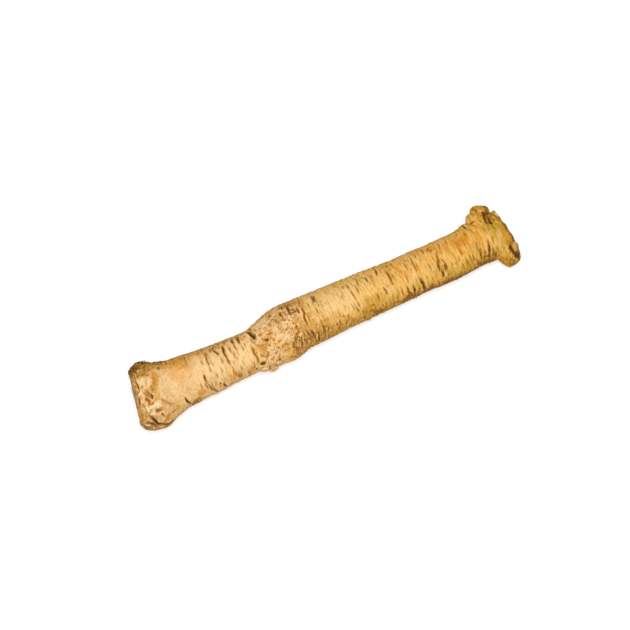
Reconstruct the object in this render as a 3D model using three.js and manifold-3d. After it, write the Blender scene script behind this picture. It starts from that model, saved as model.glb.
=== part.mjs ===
// A horseradish root, trimmed at both ends and lying on its side as it does on a table.
//
// The root grew as one piece, so it is one solid. Its long axis runs along X: the flared crown end,
// where the leaves were cut off, is at -X, and the forked end, where the side roots were cut off, is at
// +X. Z is up, and the table is the plane z = 0. Lengths are in millimetres.
//
// The body is a turned profile that is bent along a wandering centre line. The fork is a lobe lying
// across the body's end, with a small horn at its far corner, and a stub standing on its far side. A nub is
// the stump of a thin side root.

import * as THREE from 'three';
import { mergeVertices } from 'three/addons/utils/BufferGeometryUtils.js';
import Module from 'manifold-3d';

const wasm = await Module();
wasm.setup();

// ---------------------------------------------------------------- driving dimensions

const RINGS = 76;            // steps along the body
const AROUND = 28;           // steps around it
const OVALNESS = 0.025;      // how far a section is from round, as a share of its radius
const THREE_SIDED = 0.018;   // the same for a slight three-sided swelling
const SECTION_TWIST = 0.02;  // how fast the swellings turn along the root, in radians a millimetre

const CROWN_SLANT = 0.22;    // the crown was cut on a slant: how far its face runs along X for each mm of Y
const CROWN_REACH = 34;      // the stretch over which the slant fades out
const CROWN_DOME = 1.0;      // how far the dried crown face bulges

const FACE_RINGS = [0, 0.45, 0.8];  // the rings on the crown's face, as shares of its radius

const REST_CUT = 0.45;       // how deep the soft skin is pressed flat where the root rests
const TABLE = [400, 400, 40];       // a slab of table, large enough to pass under the whole root
const WELD = 1e-4;           // points closer together than this are one point

// The body's stations: place along X, sideways wander in Y, height of the centre line, and half width.
const STATIONS = [
  { x: -128.5, y: 0.9, z: 19.0, half: 14.6 },
  { x: -127.4, y: 0.9, z: 19.0, half: 17.0 },
  { x: -124.5, y: 0.8, z: 19.0, half: 18.9 },
  { x: -120, y: 0.4, z: 18.9, half: 19.9 },
  { x: -115, y: -0.3, z: 18.8, half: 19.5 },
  { x: -109, y: -0.2, z: 18.6, half: 17.0 },
  { x: -102, y: 0.1, z: 18.4, half: 15.1 },
  { x: -94, y: 0.4, z: 18.3, half: 14.7 },
  { x: -82, y: 0.1, z: 18.0, half: 13.6 },
  { x: -66, y: -0.1, z: 17.7, half: 12.8 },
  { x: -52, y: -0.2, z: 17.4, half: 12.6 },
  { x: -43, y: 0.7, z: 17.3, half: 14.2 },
  { x: -32, y: 1.4, z: 17.2, half: 16.2 },
  { x: -18, y: 3.0, z: 17.1, half: 15.2 },
  { x: 2, y: 3.1, z: 16.8, half: 14.7 },
  { x: 22, y: 2.8, z: 16.2, half: 14.4 },
  { x: 42, y: 2.4, z: 15.6, half: 13.9 },
  { x: 62, y: 2.3, z: 15.0, half: 13.8 },
  { x: 78, y: 2.4, z: 14.5, half: 14.0 },
  { x: 94, y: 2.8, z: 14.1, half: 13.9 },
  { x: 104, y: 3.9, z: 13.9, half: 14.2 },
  { x: 113, y: 3.0, z: 13.8, half: 14.3 },
  { x: 120, y: 1.8, z: 13.7, half: 11.5 },
];

// The fork's lobe: a stubby sausage across the body's end, from its near tip to the horn on the far side.
const LOBE = {
  at: new THREE.Vector3(118.5, 0.6, 13.0),
  lean: 0.34,                // its far end is raised by this angle, in radians
  turn: 0.13,                // and swung back towards the crown by this one
  thick: 1.65,               // how much deeper it is from top to bottom than along the root
  // distance along the lobe, and radius there
  outline: [
    [-18.6, 0], [-17.7, 3.5], [-14.5, 5.7], [-9, 6.8], [-2, 7.3],
    [5, 7.1], [11, 6.2], [15.5, 4.6], [17.8, 2.6], [18.4, 0],
  ],
  steps: 20,
};

// The stub of a side root, on the far side of the fork, with a collar of wrinkled bark round its foot.
const STUB = {
  foot: new THREE.Vector3(109.4, 9, 18),
  towards: new THREE.Vector3(0.36, 0.81, 0.46),
  outline: [
    [-7, 0], [-7, 8.4], [3, 8.8], [8.4, 8.8], [9.9, 7.8], [10.6, 6.2],
    [12.4, 5.9], [14.2, 4.9], [15.3, 2.8], [15.6, 0],
  ],
  steps: 18,
};

// The horn beside the stub: what is left of a root that broke off there.
const HORN = {
  foot: new THREE.Vector3(122.4, 9.4, 15.2),
  towards: new THREE.Vector3(0.12, 0.87, 0.47),
  outline: [[-3, 0], [-3, 3.2], [3, 3.1], [6.5, 2.4], [8.2, 1.9], [9.1, 1.1], [9.4, 0]],
  steps: 14,
};

// The stump of a thin side root, low on the near side where the corky swelling starts.
const NUB = { at: new THREE.Vector3(-45.5, -10.6, 11.4), radius: 3.6, steps: 14 };

const SKIN = new THREE.MeshStandardMaterial({ color: 0xdfae68, roughness: 0.72, metalness: 0 });

// ---------------------------------------------------------------- solids

// A closed geometry as a solid that can be joined and cut.
function solidOf(geometry) {
  const bare = geometry.clone();
  bare.deleteAttribute('normal');
  bare.deleteAttribute('uv');
  const merged = mergeVertices(bare, WELD);
  return new wasm.Manifold(new wasm.Mesh({
    numProp: 3,
    vertProperties: new Float32Array(merged.attributes.position.array),
    triVerts: new Uint32Array(merged.index.array),
  }));
}

// A solid back as a geometry.
function geometryOf(solid) {
  const mesh = solid.getMesh();
  const geometry = new THREE.BufferGeometry();
  geometry.setAttribute('position', new THREE.BufferAttribute(mesh.vertProperties, 3));
  geometry.setIndex(new THREE.BufferAttribute(mesh.triVerts, 1));
  geometry.computeVertexNormals();
  return geometry;
}

// A profile of [height, radius] pairs turned round the Y axis.
function turned(outline, steps) {
  const curve = new THREE.SplineCurve(outline.map(([height, radius]) => new THREE.Vector2(radius, height)));
  const profile = curve.getPoints(outline.length * 2);
  profile.forEach((point) => { point.x = Math.max(point.x, 0); });
  profile[0].x = 0;
  profile[profile.length - 1].x = 0;
  return new THREE.LatheGeometry(profile, steps);
}

// ---------------------------------------------------------------- the body

const centreLine = new THREE.CatmullRomCurve3(
  STATIONS.map(({ x, y, z }) => new THREE.Vector3(x, y, z)), false, 'catmullrom', 0.5);
const halfWidth = new THREE.SplineCurve(STATIONS.map(({ x, half }) => new THREE.Vector2(x, half)));

// How far a section stands out at an angle, as a share of its radius.
function swelling(x, angle) {
  const turn = x * SECTION_TWIST;
  return 1 + OVALNESS * Math.cos(2 * angle + turn) + THREE_SIDED * Math.cos(3 * angle - turn);
}

// A lathe turns the profile about Y first, with the share of the way along the root as its height. Each
// point is then moved out to its place round the centre line.
function body() {
  const first = STATIONS[0].x;
  const rings = Array.from({ length: RINGS + 1 }, (_, i) => i / RINGS);
  const profile = rings.map((t) => new THREE.Vector2(halfWidth.getPoint(t).y, t));
  const faceRings = FACE_RINGS.map((share) => new THREE.Vector2(share * profile[0].x, 0));
  const end = new THREE.Vector2(0, 1);
  const geometry = new THREE.LatheGeometry([...faceRings, ...profile, end], AROUND);
  const place = geometry.attributes.position;
  for (let i = 0; i < place.count; i += 1) {
    const across = place.getZ(i);
    const up = place.getX(i);
    const centre = centreLine.getPoint(place.getY(i));
    const radius = Math.hypot(across, up);
    const share = swelling(centre.x, Math.atan2(up, across));
    const slant = CROWN_SLANT * Math.max(0, 1 - (centre.x - first) / CROWN_REACH) ** 2;
    const onFace = place.getY(i) === 0;
    const dome = onFace ? CROWN_DOME * (1 - (radius / profile[0].x) ** 2) : 0;
    place.setXYZ(i,
      centre.x + slant * across * share - dome,
      centre.y + across * share,
      centre.z + up * share);
  }
  return solidOf(geometry);
}

// ---------------------------------------------------------------- the fork and the nub

function lobe() {
  const geometry = turned(LOBE.outline, LOBE.steps);
  geometry.scale(1, 1, LOBE.thick);
  geometry.rotateX(LOBE.lean);
  geometry.rotateZ(LOBE.turn);
  geometry.translate(...LOBE.at);
  return solidOf(geometry);
}

// The stub or the horn: a turned shape that stands on its foot and points its own way.
function standing({ outline, steps, foot, towards }) {
  const geometry = turned(outline, steps);
  const turn = new THREE.Quaternion().setFromUnitVectors(
    new THREE.Vector3(0, 1, 0), towards.clone().normalize());
  geometry.applyQuaternion(turn);
  geometry.translate(...foot);
  return solidOf(geometry);
}

function nub() {
  const geometry = new THREE.SphereGeometry(NUB.radius, NUB.steps, NUB.steps / 2);
  geometry.translate(...NUB.at);
  return solidOf(geometry);
}

// ---------------------------------------------------------------- the whole root

// The root with its lowest skin taken off flat, where its own weight presses it on the table.
function rested(solid) {
  const top = solid.boundingBox().min[2] + REST_CUT;
  const table = new THREE.BoxGeometry(...TABLE);
  table.translate(0, 0, top - TABLE[2] / 2);
  return solid.subtract(solidOf(table));
}

// Puts the origin under the middle of the root's box, on the table.
function centred(geometry) {
  geometry.computeBoundingBox();
  const { min, max } = geometry.boundingBox;
  return geometry.translate(-(min.x + max.x) / 2, -(min.y + max.y) / 2, -min.z);
}

const grown = body().add(lobe()).add(standing(STUB)).add(standing(HORN)).add(nub());
const root = new THREE.Mesh(centred(geometryOf(rested(grown))), SKIN);
root.name = 'horseradish_root';

const group = new THREE.Group();
group.add(root);
export default group;
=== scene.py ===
# %% [markdown]
# # A horseradish root
# A horseradish root is one tapering body of tough flesh under a thin corky skin, so there is nothing to
# assemble here. The work is all in the skin: rings, slits, corky patches, scars and a forked end. It could
# be sculpted by hand, but a sculpture can't be read or changed later. So this lesson carves it in code: an
# even grid of points is laid over the plain solid, and each feature moves the points and paints a mask.

# %% Load the frame
import math

import bpy
import numpy as np
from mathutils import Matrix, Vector
from mathutils.bvhtree import BVHTree


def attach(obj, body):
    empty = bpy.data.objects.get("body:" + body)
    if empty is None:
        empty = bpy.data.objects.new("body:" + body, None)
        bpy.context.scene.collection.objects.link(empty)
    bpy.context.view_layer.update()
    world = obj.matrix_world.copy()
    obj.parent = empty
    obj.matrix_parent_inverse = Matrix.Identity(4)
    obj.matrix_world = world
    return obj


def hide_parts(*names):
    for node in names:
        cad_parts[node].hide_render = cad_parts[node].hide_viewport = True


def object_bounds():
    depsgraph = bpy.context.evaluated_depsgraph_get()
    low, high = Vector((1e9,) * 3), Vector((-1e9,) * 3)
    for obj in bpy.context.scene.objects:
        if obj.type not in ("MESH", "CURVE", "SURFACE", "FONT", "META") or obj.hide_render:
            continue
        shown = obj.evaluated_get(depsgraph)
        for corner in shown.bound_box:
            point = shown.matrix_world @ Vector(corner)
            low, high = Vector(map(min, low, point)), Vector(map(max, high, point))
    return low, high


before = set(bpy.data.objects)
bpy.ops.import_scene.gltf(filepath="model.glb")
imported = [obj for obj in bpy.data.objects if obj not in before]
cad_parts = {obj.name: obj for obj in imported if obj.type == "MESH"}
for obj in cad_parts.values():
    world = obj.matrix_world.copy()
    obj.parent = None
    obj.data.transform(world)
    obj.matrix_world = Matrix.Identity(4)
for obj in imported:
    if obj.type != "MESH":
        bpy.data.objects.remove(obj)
cad_low, cad_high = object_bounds()
cad_middle = (cad_low + cad_high) / 2
scene = bpy.context.scene
scene.view_settings.view_transform = "Standard"
print("the frame's sides, in mm:", [round(side * 1000, 1) for side in cad_high - cad_low])

# %% [markdown]
# ## The camera
# A long lens from a distance keeps the crown and the fork at nearly the same scale, as in a shop's
# catalogue. The camera could be level and the root turned instead, but the root's frame has to stay as it
# is. The root runs along X, so turning the camera round it lays the root across the frame on a slant.

# %% Place the camera
VIEW_AZIMUTH = math.radians(-28)
VIEW_ELEVATION = math.radians(60)
LENS = 102.0                 # millimetres
SENSOR = 36.0                # millimetres
FRAME_WIDTH = 0.378          # how much of the scene the frame takes in at the root, in metres
AIM_LEFT, AIM_DOWN = 0.0064, 0.0015   # the root lies a little right of the frame's middle, and above it


def direction(azimuth, elevation):
    """The way from the root to something at this azimuth and elevation."""
    level = math.cos(elevation)
    return Vector((math.sin(azimuth) * level, -math.cos(azimuth) * level, math.sin(elevation)))


def placed(name, data):
    """A new object in the scene, with this mesh, lamp or camera."""
    made = bpy.data.objects.new(name, data)
    scene.collection.objects.link(made)
    return made


camera_data = bpy.data.cameras.new("camera")
camera_data.lens = LENS
camera_data.sensor_width = SENSOR
camera = placed("camera", camera_data)
scene.camera = camera

back = direction(VIEW_AZIMUTH, VIEW_ELEVATION)
facing = (-back).to_track_quat("-Z", "Y")
aim = cad_middle + facing @ Vector((-AIM_LEFT, -AIM_DOWN, 0))
distance = FRAME_WIDTH * LENS / SENSOR
camera.rotation_mode = "QUATERNION"
camera.rotation_quaternion = facing
camera.location = aim + back * distance
print("camera distance:", round(distance, 3), "m")

# %% [markdown]
# ## The light and the floor
# A large soft lamp just above the camera gives the long highlight down the top of the root, and a plain
# white world fills in the rest. The two together light a surface that faces them at about its own colour.
# Brighter lamps would whiten the floor too, but they would bleach the root. So the floor looks white to
# the camera, and to reflections, because its material adds a little light there. That light never reaches
# the root, and the floor still shows the root's shadow.

# %% Light the root
KEY_DIRECTION = direction(math.radians(-26), math.radians(66))
KEY_DISTANCE = 1.3
KEY_SIZE = 0.5
KEY_WATTS = 13.4
WORLD_STRENGTH = 0.30

key_data = bpy.data.lights.new("key", "AREA")
key_data.shape = "SQUARE"
key_data.size = KEY_SIZE
key_data.energy = KEY_WATTS
key = placed("key", key_data)
key.rotation_mode = "QUATERNION"
key.location = cad_middle + KEY_DIRECTION * KEY_DISTANCE
key.rotation_quaternion = (-KEY_DIRECTION).to_track_quat("-Z", "Y")
print("key lamp:", KEY_WATTS, "W over", KEY_SIZE, "m")


# %% Helpers for node trees
def add(tree, kind, **settings):
    """A new node, with its plain settings."""
    node = tree.nodes.new(kind)
    for name, value in settings.items():
        setattr(node, name, value)
    return node


def wire(tree, source, socket):
    """Sets a socket from another socket, or to a plain value."""
    if isinstance(source, bpy.types.NodeSocket):
        tree.links.new(source, socket)
    else:
        socket.default_value = source


def either(tree, *masks):
    """The largest of some masks."""
    largest = masks[0]
    for mask in masks[1:]:
        node = add(tree, "ShaderNodeMath", operation="MAXIMUM")
        wire(tree, largest, node.inputs[0])
        wire(tree, mask, node.inputs[1])
        largest = node.outputs[0]
    return largest


def new_material(name):
    """A material with nodes, its tree and its main shader."""
    material = bpy.data.materials.new(name)
    material.use_nodes = True
    return material, material.node_tree, material.node_tree.nodes["Principled BSDF"]


def seen_directly(tree):
    """One for rays from the camera and for sharp reflections of the white around the root."""
    path = add(tree, "ShaderNodeLightPath")
    kinds = ("Is Camera Ray", "Is Glossy Ray", "Is Transmission Ray")
    return either(tree, *[path.outputs[kind] for kind in kinds])


tree_helpers = (add, wire, either, new_material, seen_directly)
print("helpers:", ", ".join(helper.__name__ for helper in tree_helpers))


# %% Make the white world
def make_world():
    world = bpy.data.worlds.new("white room")
    world.use_nodes = True
    tree = world.node_tree
    sky = tree.nodes["Background"]
    strength = add(tree, "ShaderNodeMapRange")
    wire(tree, seen_directly(tree), strength.inputs["Value"])
    strength.inputs["To Min"].default_value = WORLD_STRENGTH
    strength.inputs["To Max"].default_value = 1.0
    sky.inputs["Color"].default_value = (1, 1, 1, 1)
    wire(tree, strength.outputs["Result"], sky.inputs["Strength"])
    return world


scene.world = make_world()
print("world strength:", WORLD_STRENGTH)

# %% Lay the floor
FLOOR_HALF = 3.0             # metres
FLOOR_COLOUR = (0.6, 0.6, 0.6, 1)
FLOOR_LIFT = 0.57            # the light that the floor adds for the camera only


def make_floor():
    corners = [(-1, -1), (1, -1), (1, 1), (-1, 1)]
    mesh = bpy.data.meshes.new("floor")
    mesh.from_pydata([(x * FLOOR_HALF, y * FLOOR_HALF, 0) for x, y in corners], [], [(0, 1, 2, 3)])
    material, tree, shader = new_material("white table")
    shader.inputs["Base Color"].default_value = FLOOR_COLOUR
    shader.inputs["Roughness"].default_value = 0.9
    shader.inputs["Specular IOR Level"].default_value = 0.0
    shader.inputs["Emission Color"].default_value = (1, 1, 1, 1)
    lift = add(tree, "ShaderNodeMath", operation="MULTIPLY")
    wire(tree, seen_directly(tree), lift.inputs[0])
    lift.inputs[1].default_value = FLOOR_LIFT
    wire(tree, lift.outputs[0], shader.inputs["Emission Strength"])
    mesh.materials.append(material)
    return placed("floor", mesh)


floor = make_floor()
print("floor:", 2 * FLOOR_HALF, "m across")

# %% [markdown]
# ## The blank
# The plain solid has long, thin triangles that can't hold fine relief, so it is covered with an even grid
# of small faces. A voxel remesh does that in one step. The rings of the skin are the finest detail, and
# they change along the root and not around it. So the solid is stretched along X before the remesh and let
# back after it, which packs the faces closer along the root. A few rounds of smoothing then take away the
# solid's facets.

# %% Cover the solid with an even grid
MM = 0.001
STRETCH = 1.5
GRID = 0.715 * MM            # the size of a face around the root, in metres
SMOOTHING_ROUNDS = 10

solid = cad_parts["horseradish_root"]


def evenly_meshed(source):
    """A copy of the source's shape with small, even faces."""
    work = placed("work", source.data.copy())
    for point in work.data.vertices:
        point.co.x *= STRETCH
    remesh = work.modifiers.new("even grid", "REMESH")
    remesh.mode = "VOXEL"
    remesh.voxel_size = GRID
    smooth = work.modifiers.new("soften facets", "SMOOTH")
    smooth.factor = 0.5
    smooth.iterations = SMOOTHING_ROUNDS
    made = work.evaluated_get(bpy.context.evaluated_depsgraph_get())
    mesh = bpy.data.meshes.new_from_object(made)
    for point in mesh.vertices:
        point.co.x /= STRETCH
    bpy.data.objects.remove(work)
    return mesh


skin_mesh = evenly_meshed(solid)
skin_mesh.name = "root_skin"
print("grid:", len(skin_mesh.vertices), "points,", 2 * len(skin_mesh.polygons), "triangles")

# %% [markdown]
# ## The grid as numbers
# Sculpting modifiers would each add a pass over the whole mesh. It is quicker, and clearer, to read the
# grid once into arrays of numbers, in millimetres, and to add up all the relief as one height for each
# point. The smoothing also wore down the solid's own edges, so the points first go back out to them.

# %% Read the grid as numbers
def column(collection, name, width):
    """A property of every point or edge of the mesh, as rows of numbers."""
    kind = np.int32 if name == "vertices" else np.float32
    flat = np.empty(len(collection) * width, kind)
    collection.foreach_get(name, flat)
    return flat.reshape(-1, width)


place = column(skin_mesh.vertices, "co", 3).astype(float) / MM
outward = column(skin_mesh.vertex_normals, "vector", 3).astype(float)
edges = column(skin_mesh.edges, "vertices", 2)
count = len(place)
everywhere = np.arange(count)
height = np.zeros(count)     # how far each point is moved out along its normal, in mm
neighbours = np.bincount(edges.ravel(), minlength=count)
print("neighbours of a point:", neighbours.min(), "to", neighbours.max())


def averaged(values, rounds=1):
    """Each point's value averaged with its neighbours' values, for some rounds."""
    for _ in range(rounds):
        total = np.bincount(edges[:, 0], values[edges[:, 1]], count)
        total += np.bincount(edges[:, 1], values[edges[:, 0]], count)
        values = (values + total) / (1 + neighbours)
    return values


# %% Give back what the smoothing wore off the edges
RESTORING_ROUNDS = 2


def restore_edges():
    """Moves the points back out to the solid, and returns how far they had sunk, in mm."""
    global outward
    facets = BVHTree.FromPolygons([point.co / MM for point in solid.data.vertices],
                                  [tuple(face.vertices) for face in solid.data.polygons])
    nearest = np.array([facets.find_nearest(Vector(point))[0] for point in place])
    missing = averaged(((nearest - place) * outward).sum(1), rounds=4)
    place[:] += outward * missing[:, None]
    skin_mesh.vertices.foreach_set("co", (place * MM).astype(np.float32).ravel())
    skin_mesh.update()
    outward = column(skin_mesh.vertex_normals, "vector", 3).astype(float)
    return missing.max()


for _ in range(RESTORING_ROUNDS):
    print("edges raised by up to", restore_edges().round(2), "mm")

# %% [markdown]
# ## Finding a way round the root
# Features are placed as a gardener would point at them: so far along the root, and so far round it. The
# station is the place along X in millimetres, from the crown at minus 129 to the fork at 129. The turn is
# the angle about the root's middle line: 0 is straight up, plus is towards the far side, and minus is
# towards the near side. The middle line is measured from the grid, slice by slice.

# %% Measure the middle line
SLICE_STEP = 4.0
CROWN_MARGIN = 7.0           # the rounded end of the crown says nothing about its middle
FORK_STARTS = 95.0           # past this station the fork's lobes would pull the middle line aside


def measure_middle_line():
    """Station, y and z of the root's middle, and its half width, from crown to fork."""
    rows = []
    for at in np.arange(place[:, 0].min() + CROWN_MARGIN, FORK_STARTS, SLICE_STEP):
        ring = place[np.abs(place[:, 0] - at) < SLICE_STEP / 2][:, 1:]
        low, high = ring.min(0), ring.max(0)
        rows.append([at, *(low + high) / 2, (high - low).mean() / 2])
    return np.array(rows)


middle_line = measure_middle_line()
print("half width from", middle_line[:, 3].min().round(1), "to", middle_line[:, 3].max().round(1), "mm")


def middle_at(at):
    """y and z of the middle line at one station or many."""
    return [np.interp(at, middle_line[:, 0], middle_line[:, axis]) for axis in (1, 2)]


station = place[:, 0].copy()
middle_y, middle_z = middle_at(station)
turn = np.degrees(np.arctan2(place[:, 1] - middle_y, place[:, 2] - middle_z))
round_place = np.stack([np.sin(np.radians(turn)), np.cos(np.radians(turn))], 1)
blank_tree = BVHTree.FromPolygons(place.tolist(), [tuple(face.vertices) for face in skin_mesh.polygons])


# %% Find a spot on the skin
WELL_OUTSIDE = 60            # mm from the middle line, clear of the whole root


def look_in(tree, at_station, at_turn):
    """Where a look inwards from outside meets the skin, with the normal there, or nothing twice."""
    y, z = middle_at(at_station)
    angle = math.radians(at_turn)
    out = Vector((0, math.sin(angle), math.cos(angle)))
    return tree.ray_cast(Vector((at_station, y, z)) + out * WELL_OUTSIDE, -out)[:2]


def on_skin(at_station, at_turn):
    """The point of the skin at this station and turn. Past the ends it is on the middle line."""
    hit = look_in(blank_tree, at_station, at_turn)[0]
    return np.array(hit if hit is not None else (at_station, *middle_at(at_station)))


print("the top of the shaft at station 0:", on_skin(0, 0).round(1))

# %% [markdown]
# ## Noise
# Nothing on a root is regular, so nearly every feature below is broken up by noise. Blender has noise of
# its own, but it is asked for one point at a time. This version answers for many points at once. It is
# gradient noise: each corner of a unit cell gets a slope, picked by scrambling the corner's numbers, and
# the slopes are blended inside the cell. The whole number after the points is only the noise's seed.

# %% Make noise for many points
SLOPES = np.array([(x, y, z) for x in (-1, 0, 1) for y in (-1, 0, 1) for z in (-1, 0, 1)
                   if abs(x) + abs(y) + abs(z) == 2], float)
CORNER_MIXERS = np.array([73856093, 19349663, 83492791])
SEED_MIXER = 2654435761
LAST_MIXER = 1274126177


def noise(points, seed=0):
    """Smooth noise, from about -1 to 1, with blobs about one unit across."""
    cell = np.floor(points).astype(np.int64)
    inside = points - cell
    ease = inside ** 3 * (inside * (inside * 6 - 15) + 10)
    total = np.zeros(len(points))
    for corner in np.ndindex(2, 2, 2):
        mixed = ((cell + corner) * CORNER_MIXERS).sum(1) ^ (seed * SEED_MIXER)
        mixed = (mixed ^ (mixed >> 13)) * LAST_MIXER & 0x7fffffff
        slope = SLOPES[(mixed >> 8) % len(SLOPES)]
        weight = np.where(corner, ease, 1 - ease).prod(1)
        total += weight * (slope * (inside - corner)).sum(1)
    return total


def rough_noise(points, seed=0, layers=3, fade=0.55):
    """Noise with finer and fainter noise added, layer by layer."""
    return sum(fade ** layer * noise(points * 2 ** layer, seed + layer) for layer in range(layers))


def rise(low, high, value):
    """Zero below low, one above high, and a smooth step between."""
    share = np.clip((value - low) / (high - low), 0, 1)
    return share * share * (3 - 2 * share)


def veins(points, seed=0, width=0.1):
    """Thin wandering lines: one where the noise passes through zero, and zero away from there."""
    bent = points + 0.5 * noise(points * 1.7, seed + 7)[:, None]
    return rise(width, 0.0, np.abs(noise(bent, seed)))


def ringwise(across, along):
    """Points scaled so that noise makes streaks round the root, of this width and length in mm."""
    return place / (across, along, along)


print("noise at the first points:", noise(place[:3] / 5).round(2))

# %% [markdown]
# ## Masks
# Each mask says, point by point, how much of one finish the skin has there, from 0 to 1. The carving fills
# them in, and the material reads them later. The colour could be painted by itself afterwards, but this
# way a crack and its dark colour can never drift apart. Ochre, green and blush are tints. Gold is painted
# shade, a deeper tint on the sides where the light grazes. Rosy and pale are tints that also carry painted
# highlights on raised places. Scar is brown and fibrous, and soil is brown and also carries painted shadow
# low down. Crease is brown and also carries painted shade in hollows, slit is dark, and cut and core are
# bare flesh.

# %% Start the masks
MASKS = ("ringed", "cork", "side_shade_gold", "ochre", "green", "blush", "rosy", "pale", "soil", "scar", "crease_and_shade",
         "slit", "cut", "core")
masks = {name: np.zeros(count) for name in MASKS}


def paint(name, index, amount):
    """Raises a mask to this amount at some of the points."""
    masks[name][index] = np.maximum(masks[name][index], np.clip(amount, 0, 1))


print("masks:", len(masks))

# %% [markdown]
# ## Two kinds of mark
# Nearly every feature is either a patch or a slit. A patch is a ragged oval, and it can be raised or sunk.
# A slit follows a line of stops over the skin, and the stops are its stations and turns. Both look only at
# the points close by, which keeps the carving fast.

# %% Make patches
def patch(centre, size, ragged=0.35):
    """The points in a ragged oval and how far inside they are, from 0 at the edge to 1.

    The size is its half length along the root and its half width round it, in mm."""
    spot = on_skin(*centre)
    angle = math.radians(centre[1])
    reach = 1.6 * max(size)
    index = np.flatnonzero(np.abs(station - spot[0]) < reach)
    index = index[np.linalg.norm(place[index] - spot, axis=1) < reach]
    offset = place[index] - spot
    across = offset @ np.array([0, math.cos(angle), -math.sin(angle)])
    oval = np.hypot(offset[:, 0] / size[0], across / size[1])
    own_seed = int(7 * centre[0] + 3 * centre[1]) + 2000
    grain = rough_noise(place[index] / (0.5 * min(size) + 0.6), own_seed)
    return index, rise(1.2, 0.6, oval + ragged * grain)


def dab(centre, size, lift=0.0, ragged=0.35, **paints):
    """A low mound, or a hollow if lift is negative, with any masks painted on it."""
    index, inside = patch(centre, size, ragged)
    height[index] += lift * inside
    for name, amount in paints.items():
        paint(name, index, amount * inside)
    return index, inside


def dabs(spots, **settings):
    """Many dabs. Each has a centre, a size, a lift and its masks, and the settings hold for all."""
    for centre, size, lift, paints in spots:
        dab(centre, size, lift, **settings, **paints)
    print("dabs:", len(spots))


print("points in a patch 10 mm long:", len(patch((0, 0), (5, 5))[0]))

# %% Make slits
TRAIL_STEP = 0.35            # mm between the points of a line on the skin
TYPICAL_HALF_WIDTH = 15      # mm, to turn degrees into a length
WANDER = 0.5                 # mm by which a slit strays from its line


def trail(stops):
    """A line on the skin through given stops, each a station and a turn, as close points."""
    points = []
    for (station_a, turn_a), (station_b, turn_b) in zip(stops, stops[1:]):
        length = math.hypot(station_b - station_a, math.radians(turn_b - turn_a) * TYPICAL_HALF_WIDTH)
        for share in np.linspace(0, 1, max(2, int(length / TRAIL_STEP)), endpoint=False):
            points.append(on_skin(station_a + share * (station_b - station_a),
                                  turn_a + share * (turn_b - turn_a)))
    points.append(on_skin(*stops[-1]))
    return np.array(points)


def near(points, reach):
    """The grid points within reach of a line: which they are, how far off, and how far along it."""
    low, high = points.min(0) - reach, points.max(0) + reach
    close = np.flatnonzero(((place > low) & (place < high)).all(1))
    swerve = np.stack([noise(place[close] / 2.4, 43 + axis) for axis in range(3)], 1)
    swerve -= (swerve * outward[close]).sum(1)[:, None] * outward[close]
    gap = np.linalg.norm((place[close] + WANDER * swerve)[:, None] - points[None], axis=2)
    nearest = gap.argmin(1)
    off = gap.min(1)
    kept = off < reach
    return close[kept], off[kept], nearest[kept] / max(1, len(points) - 1)


def cut_slit(stops, width, depth, lip, dark, mask="slit"):
    """A wandering groove along a line of stops, or a ridge if depth is negative. It tapers to its ends.

    A slit's raised lips get a painted highlight, and ochre seeps into the skin round its dark bottom."""
    index, off, share = near(trail(stops), 4.5 * width + 0.8)
    ends = np.sin(math.pi * np.clip(share, 0.02, 0.98)) ** 0.6
    uneven = np.clip(1 + 0.4 * noise(place[index] / 5, 41), 0.75, 1.15)
    groove = np.exp(-(off / (width * (0.6 + 0.4 * ends))) ** 2) * ends * uneven
    lips = np.exp(-((off - 2.3 * width) / (1.2 * width)) ** 2) * ends
    height[index] += lip * lips - depth * groove
    paint(mask, index, dark * groove)
    # painted highlight: the raised lips get the pale tint
    paint("pale", index, 1.4 * lip * lips)
    if mask == "slit":
        paint("ochre", index, 0.8 * min(1, dark) * ends * np.exp(-(off / (2.6 * width)) ** 2))


print("points on a slit 5 mm long:", len(trail([(0, 0), (5, 0)])))

# %% [markdown]
# ## Growth: lumps, bands and furrows
# A root swells unevenly, so its surface first gets broad, low lumps. Then come the rings. The skin
# wrinkles as the root dries, in bands, and in furrows that run part of the way round and stop. A wave
# texture could make rings in one step, but it would make them all alike. So each furrow is one pass over
# the points close to it: it wanders along X, fades in and out round the root, and pushes up a soft lip on
# each side. The smooth zone behind the crown and the corky swelling have hardly any, and one calm stretch
# of the shaft, just past the swelling, has faint ones.

# %% Swell the root unevenly
height += 0.45 * noise(place / 17, 3) + 0.24 * noise(place / 7, 4)
print("lumps up to", height.max().round(2), "mm")

# %% Say where the skin is ringed
RING_STATIONS = [-129, -112, -88, -80, -54, -50, -26, -14, 98, 112, 120, 129]
RING_AMOUNTS = [0.1, 0.06, 0.15, 0.9, 1.0, 0.15, 0.25, 0.9, 1.0, 0.7, 0.35, 0.2]
ring_amount = np.interp(station, RING_STATIONS, RING_AMOUNTS)
calm = rise(2, 9, station) * rise(36, 28, station) * rise(-54, -42, turn) * rise(44, 22, turn)
masks["ringed"][:] = np.clip(ring_amount * (1 - 0.45 * calm + 0.6 * noise(place / 11, 5)), 0, 1)
print("rings on", round(100 * float(masks["ringed"].mean())), "% of the skin")

# %% Raise the bands
bands = rough_noise(ringwise(2.6, 24), 6, layers=2)
height += 0.3 * bands * masks["ringed"]
print("bands up to", (0.3 * bands).max().round(2), "mm")

# %% Press the furrows
random = np.random.default_rng(11)
FURROW_GAP = (1.4, 3.2)      # the least and most distance between furrows, in mm
FURROW_REACH = 5             # mm, how far a furrow can wander


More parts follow.
